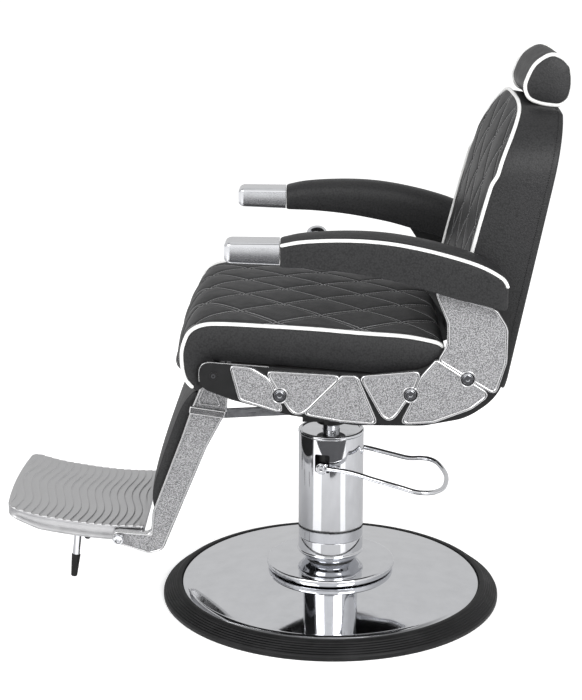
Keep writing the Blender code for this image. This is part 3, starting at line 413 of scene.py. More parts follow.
def even(points, count):
    """The same line, resampled at even steps."""
    points, run = np.array(points, float), run_length(points)
    at = np.linspace(0, run[-1], count)
    return np.stack([np.interp(at, run, points[:, k]) for k in range(points.shape[1])], 1)


def ease(x, low, high):
    """0 below low, 1 above high, smooth between."""
    t = np.clip((x - low) / (high - low), 0, 1)
    return t * t * (3 - 2 * t)


def push_out(grid, amount, outward):
    """Moves a grid's points along its normals, those that look along `outward`."""
    du = np.gradient(grid, axis=0)
    dv = np.gradient(grid, axis=1)
    normal = np.cross(du, dv)
    normal /= np.linalg.norm(normal, axis=2, keepdims=True) + 1e-9
    if np.mean(normal @ np.array(outward, float)) < 0:
        normal = -normal
    return grid + normal * amount[..., None]


def quilting(long, wide):
    """Height of the quilted surface: puffed diamonds, with a groove along each double seam."""
    a, b = long / QUILT_LONG, wide / QUILT_WIDE
    height = 0.0
    puff = np.sqrt(np.abs(np.sin(np.pi * (a + b)) * np.sin(np.pi * (a - b))))
    for lattice in (a + b, a - b):
        off = np.abs(lattice - np.round(lattice)) * LINE_GAP
        height = height - 1.5 * np.exp(-((off - ROW_OFFSET) / 3.0) ** 2)
    return height + 3.6 * puff, np.stack([a + b, a - b], -1)


def tube(name, path, radius, body, material, closed=False, sides=12, nodes=()):
    """A round welt or wire along a path of millimetre points, with domed ends."""
    path = np.array(path, float)
    ahead = np.roll(path, -1, 0) - np.roll(path, 1, 0)
    if not closed:
        ahead[0] = path[1] - path[0]
        ahead[-1] = path[-1] - path[-2]
    ahead /= np.linalg.norm(ahead, axis=1, keepdims=True)
    side = np.cross(ahead[0], (0.31, 0.17, 0.93))
    rings = []
    for centre, way in zip(path, ahead):
        side = side - way * np.dot(side, way)
        side = side / np.linalg.norm(side)
        rings.append((centre, radius, (side, np.cross(way, side))))
    if closed:
        rings.append(rings[0])
    else:
        dome = ((0.35, 0.94), (0.8, 0.6), (1.0, 0.02))
        start, end = ([(path[k] + out * ahead[k] * radius * e, radius * r, rings[k][2])
                       for e, r in dome] for k, out in ((0, -1), (-1, 1)))
        rings = start[::-1] + rings + end
    angles = np.linspace(0, 2 * np.pi, sides + 1)
    skin = Skin([[c + r * (np.cos(t) * s + np.sin(t) * u) for t in angles]
                 for c, r, (s, u) in rings])
    return skin.piece(name, body, material, nodes)


def soften(profile, radius, steps=4):
    """The profile's inner corners, each rounded to the radius where its sides allow."""
    p = [np.array(q, float) for q in profile]
    out = [p[0]]
    for before, here, after in zip(p, p[1:], p[2:]):
        a, b = before - here, after - here
        la, lb = np.linalg.norm(a), np.linalg.norm(b)
        reach = min(radius, 0.45 * la, 0.45 * lb)
        start, end = here + a / la * reach, here + b / lb * reach
        for t in np.linspace(0, 1, steps + 1):
            out.append(arc(start, here, end, t))
    out.append(p[-1])
    return np.array(out)


def turned(line, steps):
    """The (radius, height) line's grid, turned once round the Z axis."""
    angles = np.linspace(0, 2 * np.pi, steps + 1)
    return points_at(line[:, :1] * np.cos(angles), line[:, :1] * np.sin(angles), line[:, 1:])


def lathe(name, profile, body, material, at=(0, 0, 0), side=0, tilt=0.0, steps=120, nodes=(),
          round_to=0.8, closed=False):
    """A turned piece from a profile of (radius, height), its axis along Z or out to one side."""
    profile = list(profile)
    if closed:
        profile = profile + [profile[0]]
    grid = turned(soften(profile, round_to), steps)
    x, y, z = np.moveaxis(grid, -1, 0)
    if side:
        grid = points_at(x, side * z, -side * y)
    if tilt:
        c, s = math.cos(tilt), math.sin(tilt)
        grid = points_at(x * c + z * s, y, z * c - x * s)
    skin = Skin(grid + np.array(at, float))
    return skin.piece(name, body, material, nodes, sharp=50)


def rounded(corners, steps=7):
    """Points of a closed outline: each corner (x, z, radius) becomes an arc."""
    points = []
    count = len(corners)
    for i, (x, z, radius) in enumerate(corners):
        here = Vector((x, z))
        before = Vector(corners[i - 1][:2]) - here
        after = Vector(corners[(i + 1) % count][:2]) - here
        reach = radius / math.tan(before.angle(after) / 2)
        reach = min(reach, 0.48 * before.length, 0.48 * after.length)
        start = here + before.normalized() * reach
        end = here + after.normalized() * reach
        for k in range(steps + 1):
            points.append(tuple(arc(start, here, end, k / steps)))
    return points


def loft(name, rings):
    """A closed solid through equal rings of millimetre points, with one flat face on each end."""
    bm = bmesh.new()
    verts = [[bm.verts.new([c * MM for c in point]) for point in ring] for ring in rings]
    count = len(verts[0])
    for low, high in zip(verts, verts[1:]):
        for i in range(count):
            j = (i + 1) % count
            bm.faces.new((low[i], low[j], high[j], high[i]))
    bm.faces.new(verts[0])
    bm.faces.new(verts[-1])
    bmesh.ops.recalc_face_normals(bm, faces=bm.faces)
    mesh = bpy.data.meshes.new(name)
    bm.to_mesh(mesh)
    bm.free()
    return mesh


def plate_mesh(name, outline, y_one, y_other):
    """A flat (x, z) outline as a solid plate between two values of y."""
    return loft(name, [[(x, y, z) for x, z in outline] for y in sorted((y_one, y_other))])


def cut(mesh, cutters):
    """The mesh less the cutter meshes, with its flats kept whole."""
    solid = new_object("solid", mesh)
    helpers = [solid]
    for tool in cutters:
        helpers.append(new_object("cutter", tool))
        mod = solid.modifiers.new("cut", "BOOLEAN")
        mod.operation = "DIFFERENCE"
        mod.solver = "EXACT"
        mod.object = helpers[-1]
    bpy.context.view_layer.update()
    graph = bpy.context.evaluated_depsgraph_get()
    result = bpy.data.meshes.new_from_object(solid.evaluated_get(graph))
    for helper in helpers:
        bpy.data.objects.remove(helper)
    bm = bmesh.new()
    bm.from_mesh(result)
    bmesh.ops.dissolve_limit(bm, angle_limit=math.radians(0.2), verts=bm.verts, edges=bm.edges)
    bm.to_mesh(result)
    bm.free()
    return result


def bevel_edges(obj, width, segments=2, angle=40):
    """Rounds the edges that turn by more than `angle` degrees."""
    mod = obj.modifiers.new("edges", "BEVEL")
    mod.width = width * MM
    mod.segments = segments
    mod.limit_method = "ANGLE"
    mod.angle_limit = math.radians(angle)


def disc_mesh(x, z, y_one, y_other, radius, steps=48):
    turns = [2 * math.pi * k / steps for k in range(steps)]
    ring = [(x + radius * math.cos(turn), z + radius * math.sin(turn)) for turn in turns]
    return plate_mesh("disc", ring, y_one, y_other)


def stitch_row(name, path, body, pitch=4.5, length=2.8, radius=0.5):
    """Separate stitches laid along a path, each a small six-sided bead."""
    line = even(path, int(run_length(path)[-1] / pitch))
    skin = Skin()
    angles = np.linspace(0, 2 * np.pi, 7)
    for here, there in zip(line, line[1:]):
        along = (there - here) / np.linalg.norm(there - here)
        side = np.cross(along, (0.2, 0.3, 0.93))
        side /= np.linalg.norm(side)
        up = np.cross(along, side)
        skin.sheet([[here + along * length * t + radius * r * (np.cos(a) * side + np.sin(a) * up)
                     for a in angles] for t, r in ((0, 0.1), (0.2, 1), (0.8, 1), (1, 0.1))])
    skin.piece(name, body, THREAD, weld=0.001)


# ---- seat cushion

SEAT_HALF = 268.0
SEAT_CROSSING = 94              # seams cross on the middle line here, in front of the pump's axis
SEAT_SIDE = [(210, 600), (200, 609), (182, 615), (132, 624), (48, 630), (-35, 637), (-119, 642),
             (-202, 646), (-242, 644), (-268, 630), (-281, 601), (-283, 573), (-277, 540),
             (-258, 517)]
SEAT_MIDDLE = [(210, 602), (200, 615), (182, 623), (132, 633), (48, 640), (-35, 647), (-119, 652),
               (-202, 656), (-240, 653), (-266, 641), (-284, 617), (-293, 594), (-300, 564),
               (-298, 549)]


def crown(v):
    """1 in the middle, falling to 0 at both edges."""
    return (1 - np.abs(v) ** 2.6) ** 0.8


def seat_grids():
    """The box cushion's faces. s runs over the top and down the front, v across, t down a side."""
    ns, nv, nt = 260, 211, 25
    edge = curve_through(SEAT_SIDE, ns)
    middle = curve_through(SEAT_MIDDLE, ns)
    v = np.sin(np.linspace(-1, 1, nv) * np.pi / 2)
    s = np.linspace(0, 1, ns)[:, None]
    low_end = ease(s, 0.88, 1.0)
    deep = ease(-np.abs(v) * SEAT_HALF, -246, -200)
    blend = between(crown(v), deep, low_end)
    side = between(edge[:, None], middle[:, None], blend[..., None])
    panel = points_at(side[..., 0], v * SEAT_HALF, side[..., 1])
    run = run_length(middle)
    start = np.interp(SEAT_CROSSING, -middle[:, 0], run)
    height, uv = quilting(run[:, None] - start, panel[..., 1])
    fade = np.clip((1 - np.abs(v)) * 16, 0, 1) * np.clip((1 - s) * 14, 0, 1) * np.clip(s * 30, 0, 1)
    quilted = push_out(panel, height * fade, (-0.2, 0, 1))

    under = even([(210, 563), (182, 543), (-225, 574)], int(ns * 0.76))
    low_side, low_middle = (
        np.concatenate([under, curve_through(line, ns - len(under) + 1)[1:]])
        for line in ([(-225, 574), (-238, 545), (-245, 522), (-258, 517)],
                     [(-225, 574), (-262, 575), (-276, 558), (-298, 549)]))
    t = np.linspace(0, 1, nt)
    taper = 1 - ease(s, 0.9, 1.0)
    swell = 5 * np.sin(np.pi * t) - 8 * t ** 3
    flank = between(edge[:, None], low_side[:, None], t[:, None])
    faces = [points_at(flank[..., 0], sign * (SEAT_HALF + swell * taper), flank[..., 1])
             for _, sign in SIDES]
    floor_blend = deep * ease(s, 0.78, 1.0)
    below = between(low_side[:, None], low_middle[:, None], floor_blend[..., None])
    floor = points_at(below[..., 0], (SEAT_HALF - 8 * taper) * v, below[..., 1])
    rear = between(panel[0], floor[0], t[:, None, None])
    rear[..., 1] = (SEAT_HALF + swell)[:, None] * v
    rear[..., 0] += 3 * np.sin(np.pi * t)[:, None] * crown(v)
    return quilted, uv, faces + [floor, rear], edge


def seat_cushion():
    """Quilted top and front roll, plain flanks, floor and rear, and a welt along each side."""
    quilted, uv, plain, edge = seat_grids()
    skin = Skin()
    skin.sheet(quilted, 0, uv)
    for grid in plain:
        skin.sheet(grid, 1)
    obj = skin.piece("seat_upholstery", "seat", [QUILTED, LEATHER], ["seat_cushion"])
    line = edge[3: int(len(edge) * 0.985)]
    for name, sign in SIDES:
        path = [(x, sign * (SEAT_HALF + 1.2), z + 0.8) for x, z in line]
        tube("seat_welt_" + name, path, 3.6, "seat", WELT)


# ---- back

BACK_HALF = 237.0
BACK_LOW, BACK_TOP = 598.0, 1044.0
BACK_CROSSING = 740             # seams cross on the middle line at this height
BACK_QUILT_LONG = 160.0
BOARD_LOW = 512.0
BOARD_HALF = BACK_HALF - 11
BOARD_INSET = 14.0              # from the arch's top line down to the board's
BACK_EDGE = [(226, 598), (228, 640), (240, 700), (261, 786), (274, 839), (289, 895), (307, 950),
             (323, 985), (338, 1012), (349, 1030), (356, 1046)]


def board_rear(z):
    """Rear face of the upholstered board at height z: a straight lean."""
    return 356 + 0.196 * (z - 655)


def arch(v):
    """How far the back's top outline lies below its middle, v across from -1 to 1."""
    return 130 * (1 - np.sqrt(np.clip(1 - np.abs(v) ** 3.3, 0, 1)))


def back_front(u, v):
    """Front panel: flat across, with a little more fullness near the top."""
    edge = curve_through(BACK_EDGE, 400)
    z = BACK_LOW + (BACK_TOP - arch(v) - BACK_LOW) * u
    full = (4 + 5 * np.clip((z - 985) / 59, 0, 1)) * crown(v)
    lip = 5 * np.clip(1 - (1 - u) / 0.03, 0, 1) ** 2
    return points_at(np.interp(z, edge[:, 1], edge[:, 0]) - full + lip, BACK_HALF * v, z)


def back_cushion():
    """Quilted panel, boxing strip round its sides and arch, and the smooth rear."""
    nu, nv, nt = 250, 191, 33
    v = np.sin(np.linspace(-1, 1, nv) * np.pi / 2)
    u = np.linspace(0, 1, nu)[:, None]
    panel = back_front(u, v)
    middle = panel[:, nv // 2][:, [0, 2]]
    run = run_length(middle) * QUILT_LONG / BACK_QUILT_LONG
    start = np.interp(BACK_CROSSING, middle[:, 1], run)
    height, uv = quilting(np.interp(panel[..., 2], middle[:, 1], run) - start, panel[..., 1])
    fade = np.clip((1 - np.abs(v)) * 14, 0, 1) * np.clip((1 - u) * 16, 0, 1)
    skin = Skin()
    skin.sheet(push_out(panel, height * fade * 0.9, (-1, 0, 0)), 0, uv)

    rear_top = np.minimum(BACK_TOP - arch(v), 1030.0 - 0.25 * arch(v))
    rear_z = BOARD_LOW + (rear_top - BOARD_INSET - BOARD_LOW) * u
    narrow = 12 * np.clip(1 - (rear_z - BOARD_LOW) / 26, 0, 1) ** 2
    rear_x = board_rear(rear_z) + 2.5 * crown(v) * np.sin(np.pi * u) ** 0.5
    board = points_at(rear_x, (BOARD_HALF - narrow) * v, rear_z)
    skin.sheet(board, 1)

    front_line, rear_line = (np.concatenate([grid[:, 0], grid[-1, 1:-1], grid[::-1, -1]])
                             for grid in (panel, board))
    across = np.abs(front_line[:, 1])
    widest = BACK_HALF - 0.5
    rise = np.clip(front_line[:, 2] - rear_line[:, 2], 0, BOARD_INSET)
    edge_line = rear_line * (1, (BACK_HALF - 1) / BOARD_HALF, 1)
    edge_line[:, 1] = np.clip(edge_line[:, 1], -widest, widest)
    edge_line[:, 2] += np.where(across > widest, 0.0, rise)
    edge_line[:, 0] = board_rear(edge_line[:, 2]) - 5.0
    bend = edge_line + (6.0, 0, 0)
    strip = []
    for t in np.linspace(0, 1, nt):
        if t < 0.8:
            w = t / 0.8
            point = between(front_line, edge_line, w)
            bow = 3.0 * np.sin(np.pi * w) * (1 - w) * np.clip(across / BACK_HALF, 0, 1) ** 6
            point[:, 1] += bow * np.sign(front_line[:, 1])
        else:
            point = arc(edge_line, bend, rear_line, (t - 0.8) / 0.2)
        strip.append(point)
    skin.sheet(strip, 1)
    skin.sheet(between(panel[0], board[0], np.linspace(0, 1, 17)[:, None, None]), 1)
    obj = skin.piece("back_upholstery", "back", [QUILTED, LEATHER],
                     ["back_cushion", "back_shell"], weld=0.3)

    outward = front_line * (0, 0.004, 0) + (-1.5, 0, 0)
    outward[:, 2] += np.where(across < BACK_HALF - 1, 1.2, 0)
    path = curve_through((front_line + outward)[::7], 460)
    tube("back_welt", path, 3.6, "back", WELT)
    seam = between(edge_line, front_line, 0.07)
    seam[:, 1] += 0.8 * np.sign(seam[:, 1])
    stitch_row("back_seam", seam[seam[:, 2] > 560], "back")


# ---- headrest

HEAD_HALF = 104.0


def headrest():
    """A short roll between two welts: almost straight, with slightly domed ends."""
    outline = curve_through([(445, 1108), (428, 1124), (406, 1129), (379, 1112), (364, 1084),
                             (361, 1066), (369, 1048), (388, 1039), (410, 1035), (428, 1035),
                             (442, 1045), (448, 1062), (449, 1084), (445, 1108)], 97)
    middle = np.array([407.0, 1083.0])
    offset = outline - middle
    rings = []
    for share in np.sin(np.linspace(-1, 1, 61) * np.pi / 2):
        grow = 1 + 0.02 * (1 - abs(share) ** 2.4) ** 0.7
        ring = middle + offset * np.where(offset[:, 1:] > -20, grow, 1.0)
        rings.append(points_at(ring[:, 0], share * HEAD_HALF, ring[:, 1]))
    r = np.linspace(1, 0.01, 20)[:, None]
    cap = middle + offset * r[..., None]
    depth = HEAD_HALF + 7 * (1 - r ** 2.4) ** 0.8
    caps = [points_at(cap[..., 0], sign * depth, cap[..., 1]) for _, sign in SIDES]
    obj = Skin(rings, *caps).piece("headrest_roll", "headrest", LEATHER, ["headrest_cushion"])
    for name, sign in SIDES:
        path = [(x, sign * (HEAD_HALF + 1.0), z) for x, z in outline[:-1]]
        tube("headrest_welt_" + name, path, 3.6, "headrest", WELT, closed=True)


# ---- arms

ARM_UNDER = ((-97, 766), (-34, 763), (37, 755), (115, 740), (166, 726), (191, 718), (232, 706),
             (274, 696), (320, 684))
ARM_WELT = ((-97, 806), (-58, 813), (-3, 816), (56, 815), (114, 809), (174, 797), (233, 781),
            (272, 767), (300, 752), (312, 742), (319, 728))
ARM_Y = 283.0                   # middle of each pad, from the chair's middle
ARM_HALF = 36.0
ARM_FRONT, ARM_REAR = -97, 320
ARM_BEND = 14.0                 # length of the rounding at the rear end


def rear_bend(x):
    """0 along the pad, rising to 1 over the rounding at its rear end."""
    return max(0, (x - ARM_REAR) / ARM_BEND + 1) ** 2


def arms():
    """Arm pads: a flat flank under the outer welt, a low top that rolls to the inner side."""
    under = curve_through(ARM_UNDER, 140)
    welt = curve_through(ARM_WELT, 140)
    top = curve_through([(1.0, 0.0), (1.02, 0.5), (1.0, 1.0), (0.75, 1.1), (0.2, 1.17), (-0.4, 1.15),
                         (-0.82, 1.0), (-1.0, 0.72), (-1.0, 0.3), (-0.92, 0.02)], 49)
    section = np.concatenate([top, even([(-0.92, 0.02), (1.0, 0.0)], 12)[1:]])
    xs = np.concatenate([[-97, -96.6, -95.5, -93.5], np.linspace(-90, 306, 130),
                         [310, 313.5, 316.5, 318.5, 319.6, 320]])
    for name, sign in SIDES:
        rings = []
        for x in xs:
            low = np.interp(x, under[:, 0], under[:, 1])
            high = np.interp(x, welt[:, 0], welt[:, 1])
            start = min(1, (x - ARM_FRONT) / 4)
            shrink = 2.5 * math.sqrt(max(0, 1 - start * (2 - start)))
            shrink += 12 * (1 - math.sqrt(max(0, 1 - rear_bend(x))))
            up = low + shrink * 0.6 + (high - low - shrink * 1.1) * section[:, 1]
            rings.append(points_at(x, sign * (ARM_Y + (ARM_HALF - shrink) * section[:, 0]), up))
        obj = capped(rings).piece("arm_cushion_" + name, "seat", LEATHER,
                                  ["arm_pad_" + name], sharp=60)
        path = [(x, sign * (ARM_Y + ARM_HALF + 0.2 - 5 * rear_bend(x)), z) for x, z in welt[1:-1]]
        tube("arm_welt_" + name, path, 3.2, "seat", WELT)
        arm_tip(name, sign)


def arm_tip(name, sign):
    """Satin metal nose in front of the pad, a rounded box that closes in to a soft front."""
    angles = np.linspace(0, 2 * np.pi, 61)
    across, up = (np.sign(a) * np.abs(a) ** 0.26 for a in (np.cos(angles), np.sin(angles)))
    rings = []
    for t in np.concatenate([1 - np.cos(np.linspace(0, np.pi / 2, 14)), [1.6, 3, 5, 7.25]]):
        inset = 12 * (1 - math.sqrt(max(0.0, 1 - (1 - min(t, 1)) ** 2)))
        half, tall = 33.5 - inset, 20.0 + 0.25 * min(t, 7) - inset * 0.8
        rings.append(points_at(-200 + 14 * t, sign * (ARM_Y + across * half),
                               791 - 0.35 * t + up * tall))
    capped(rings).piece("arm_nose_" + name, "seat", CHROME_SATIN, ["arm_tip_" + name], sharp=60)


# ---- side panels

PANEL = ((-250, 578, 26), (70, 554.5, 60), (172, 566, 70), (214, 600, 60), (213, 655, 45),
         (166, 725.7, 2), (191, 717.7, 1), (232, 705.7, 1), (274, 695.7, 1), (320, 683.7, 8),
         (330, 640, 90), (328, 562, 90), (305, 508, 110), (252, 470, 110), (170, 454.5, 110),
         (40, 455, 110), (-80, 474, 90), (-190, 504, 60), (-250, 528, 28))
FIELDS = (
    ((-191, 570, 9), (-152, 566, 40), (-118, 545, 40), (-91, 479, 11), (-174, 505, 14)),
    ((-124, 560, 10), (18, 552, 11), (-68, 463, 30)),
    ((18, 552, 14), (46, 551, 16), (85, 458, 12), (15, 464, 30), (-56, 477, 11)),
    ((51, 551, 12), (164, 561, 12), (152, 526, 40), (105, 452, 24)),
    ((193, 583, 8), (165, 550, 60), (147, 498, 40), (128, 459, 12), (190, 463, 30), (260, 490, 40),
     (294, 517, 14)),
    ((187, 717, 10), (300, 682, 30), (323, 645, 40), (323, 580, 60), (304, 517, 14),
     (197, 583, 10), (214, 613, 30), (213, 655, 40)),
)
PANEL_BOLTS = ((-99, 513), (146, 516), (252, 547))
PANEL_FACE = 284.0              # outer face of the black carrier, from the chair's middle
BOLT_RECESS = 15.0
BOLT_COLLAR = ((12.6, 0.0), (12.6, 3.4), (13.4, 4.8), (14.6, 5.2), (15.8, 4.8), (16.6, 3.4),
               (16.6, 0.0))
BEAD = ((0, 0), (0, 1.8), (0.4, 3.2), (1.2, 4.4), (2.3, 5.1), (3.6, 5.2), (4.8, 4.8), (5.8, 4.0),
        (6.4, 3.2), (6.8, 2.4))


def widened(corners, by):
    """The outline with every side moved outwards."""
    count = len(corners)
    points = [Vector(c[:2]) for c in corners]
    area = sum(points[i - 1].x * points[i].y - points[i].x * points[i - 1].y for i in range(count))
    turn = 1 if area > 0 else -1
    out = []
    for i, here in enumerate(points):
        before = (here - points[i - 1]).normalized()
        after = (points[(i + 1) % count] - here).normalized()
        n1 = Vector((before.y, -before.x)) * turn
        n2 = Vector((after.y, -after.x)) * turn
        middle = (n1 + n2).normalized()
        reach = by / max(0.5, middle.dot(n1))
        out.append((here.x + middle.x * reach, here.y + middle.y * reach, corners[i][2]))
    return out


def beaded_field(corners, side, base, bead):
    """A raised outline whose rounded bead rings a sunk face; the bead is (inset, height) steps."""
    rings = []
    for inset, height in bead:
        shrunk = [(x, z, max(radius - inset, 1.2)) for x, z, radius in widened(corners, -inset)]
        rings.append([(x, side * (base + height), z) for x, z in rounded(shrunk, 10)])
    return loft("field", rings)


def pebble_face(mesh, side, level):
    """Gives the sunk face at this distance from the middle the second material."""
    for face in mesh.polygons:
        flat = face.normal.y * side > 0.99
        face.material_index = int(flat and abs(face.center.y * side - level * MM) < 0.2 * MM)


def side_panels():
    """Black carrier plates, each with six raised fields: a buffed bead round a pebbled face."""
    for name, side in SIDES:
        mesh = plate_mesh("carrier_" + name, rounded(PANEL, 14), side * 276, side * PANEL_FACE)
        plate = finish_piece("panel_carrier_" + name, mesh, "seat", BLACK_PAINT,
                             ["side_panel_" + name], sharp=30)
        bevel_edges(plate, 1.2)
        for number, corners in enumerate(FIELDS, 1):
            grown = widened(corners, 2.6 if number < 6 else 2.2)
            mesh = beaded_field(grown, side, PANEL_FACE, BEAD)
            xs = [x for x, _, _ in corners]
            near = [(x, z) for x, z in PANEL_BOLTS if min(xs) - 14 < x < max(xs) + 14]
            if near:
                mesh = cut(mesh, [disc_mesh(x, z, side * 280, side * 296, BOLT_RECESS)
                                  for x, z in near])
            pebble_face(mesh, side, PANEL_FACE + BEAD[-1][1])
            finish_piece(f"panel_field_{name}_{number}", mesh, "seat", [POLISHED, PEBBLED], sharp=35)
        for number, (x, z) in enumerate(PANEL_BOLTS, 1):
            lathe(f"bolt_collar_{name}_{number}", BOLT_COLLAR, "seat", POLISHED,
                  (x, side * PANEL_FACE, z), side, steps=72, closed=True)
            socket_bolt(f"panel_screw_{name}_{number}", (x, side * (PANEL_FACE - 0.2), z), side,
                        "seat", 7.6, 5.4, 11.0, [f"panel_bolt_{name}_{number}"])
        socket_bolt("pivot_screw_" + name, (-223, side * PANEL_FACE, 550), side, "seat", 4.2, 0.8, 0)
        # Painted highlight: a thin polished tube along the carrier's upper front edge stands in for
        # the highlight on the black plate's bevel.
        nose = rounded(PANEL, 14)
        nose = nose[-40:] + nose[:40]
        front = [(x, z) for x, z in nose if z > 538 and x < -150] + [(-120, 568.45)]
        path = curve_through([(x, side * (PANEL_FACE + 0.3), z) for x, z in front], 80)
        tube("carrier_edge_highlight_" + name, path, 0.9, "seat", POLISHED, sides=8)


def socket_bolt(name, at, side, body, radius, height, washer, nodes=()):
    """A turned bolt head with a hexagonal socket, on its washer."""
    if washer > radius + 1:
        ring = [(washer - 3.4, 2.2), (washer - 0.6, 2.0), (washer, 1.2), (washer, 0.0), (0.5, 0.0)]
        lathe(name + "_washer", ring, body, DARK_CHROME, at, side, steps=64, round_to=0.5)
    top = height + 2.0
    deep = top - min(3.4, top - 0.4)
    angles = np.linspace(0, 2 * np.pi, 49)
    circle = radius * np.column_stack([np.cos(angles), np.sin(angles)])
    sixth = np.pi / 3
    hexagon = circle * (0.52 * math.cos(sixth / 2) / np.cos(angles % sixth - sixth / 2))[:, None]
    steps = ((hexagon * 0.02, deep - 0.2), (hexagon, deep), (hexagon, top - 0.2),
             (hexagon * 1.06, top), (circle * 0.94, top), (circle, top - 1.1), (circle, 1.0))
    grid = np.array([points_at(ring[:, 0], side * level, ring[:, 1]) for ring, level in steps])
    return Skin(grid + np.array(at, float)).piece(name, body, CHROME, nodes, sharp=40)


# ---- legrest

LEG_ARM = ((-246, 570, 20), (-202, 570, 20), (-206, 500, 20), (-203, 472, 6), (-204, 450, 8),
           (-244, 376, 60), (-334, 160, 22), (-362, 153, 20), (-437, 178, 12), (-430, 201, 12),
           (-357, 196, 12), (-353, 240, 16), (-292, 400, 60), (-272, 458, 30), (-250, 508, 20))

LEG_FACE = 170.0                # inner side of each casting, from the chair's middle
LEG_BEAD = ((0, 0), (0, 12.6), (0.4, 14.4), (1.2, 15.8), (2.2, 16.5), (3.1, 16.6), (4.0, 16.2),
            (4.8, 15.3), (5.3, 14.2), (5.5, 13.6))


def legrest():
    """Two L-shaped castings: buffed edge, pebbled face, a half-round band at the knuckle."""
    band = rounded([(-275, 462, 4), (-205, 452, 4), (-210, 436, 4), (-278, 446, 4)], 5)
    field = rounded([(-246, 501, 4), (-258, 474, 4), (-256, 466, 3), (-216, 461, 4),
                     (-227, 488, 5)], 5)
    for name, side in SIDES:
        mesh = beaded_field(LEG_ARM, side, LEG_FACE, LEG_BEAD)
        pebble_face(mesh, side, LEG_FACE + LEG_BEAD[-1][1])
        finish_piece("leg_casting_" + name, mesh, "legrest", [POLISHED, PEBBLED],
                     ["legrest_arm_" + name], sharp=35)
        mesh = plate_mesh("band", band, side * 185, side * 191)
        plate = finish_piece("knuckle_band_" + name, mesh, "legrest", POLISHED, sharp=80)
        bevel_edges(plate, 4.0, 5, 60)
        loop = curve_through([(x, side * 187.0, z) for x, z in field + field[:1]], 90)[:-1]
        tube("knuckle_bead_" + name, loop, 1.3, "legrest", POLISHED, closed=True, sides=8)
    calf_pad()


def calf_pad():
    """Padded calf panel with a crowned front and drawn-in ends."""
    front = curve_through([(-360, 227), (-354, 276), (-338, 332), (-308, 418), (-286, 482)], 80)
    v = np.sin(np.linspace(-1, 1, 81) * np.pi / 2)
    swell = 1 - np.abs(2 * np.linspace(0, 1, 80)[:, None] - 1) ** 6
    depth = 34 * (0.55 + 0.45 * swell) + 5 * crown(v) * swell
    rear = points_at(front[:, :1] + 34, 162 * v, front[:, 1:])
    face = rear - points_at(depth, 0, 0)
    skin = Skin(face, rear)
    t = np.linspace(0, 1, 15)
    bulge = 3 * np.sin(np.pi * t)
    for end, sign in ((0, -1), (-1, 1)):
        wall = between(face[:, [end]], rear[:, [end]], t[:, None])
        wall[..., 1] += sign * bulge
        skin.sheet(wall)
    for end, sign in ((0, -1), (-1, 1)):
        wall = between(face[end], rear[end], t[:, None, None])
        wall[..., 2] += sign * bulge[:, None]
        skin.sheet(wall)
    obj = skin.piece("calf_cushion", "legrest", LEATHER, ["calf_pad"])


# ---- footplate

FOOT_HALF = 168.0
FOOT_FRONT, FOOT_REAR = -642, -372
RIB_PITCH = 15.5
RIB_HEIGHT = 2.4
FOOT_TOP = ((-642, 247), (-600, 234), (-566, 226), (-499, 215), (-441, 209), (-372, 207))


def foot_bow(x, y):
    """How far the plate's front end reaches ahead of a straight one."""
    return 10 * np.clip((-500 - x) / 142, 0, None) * (1 - (y / FOOT_HALF) ** 2)


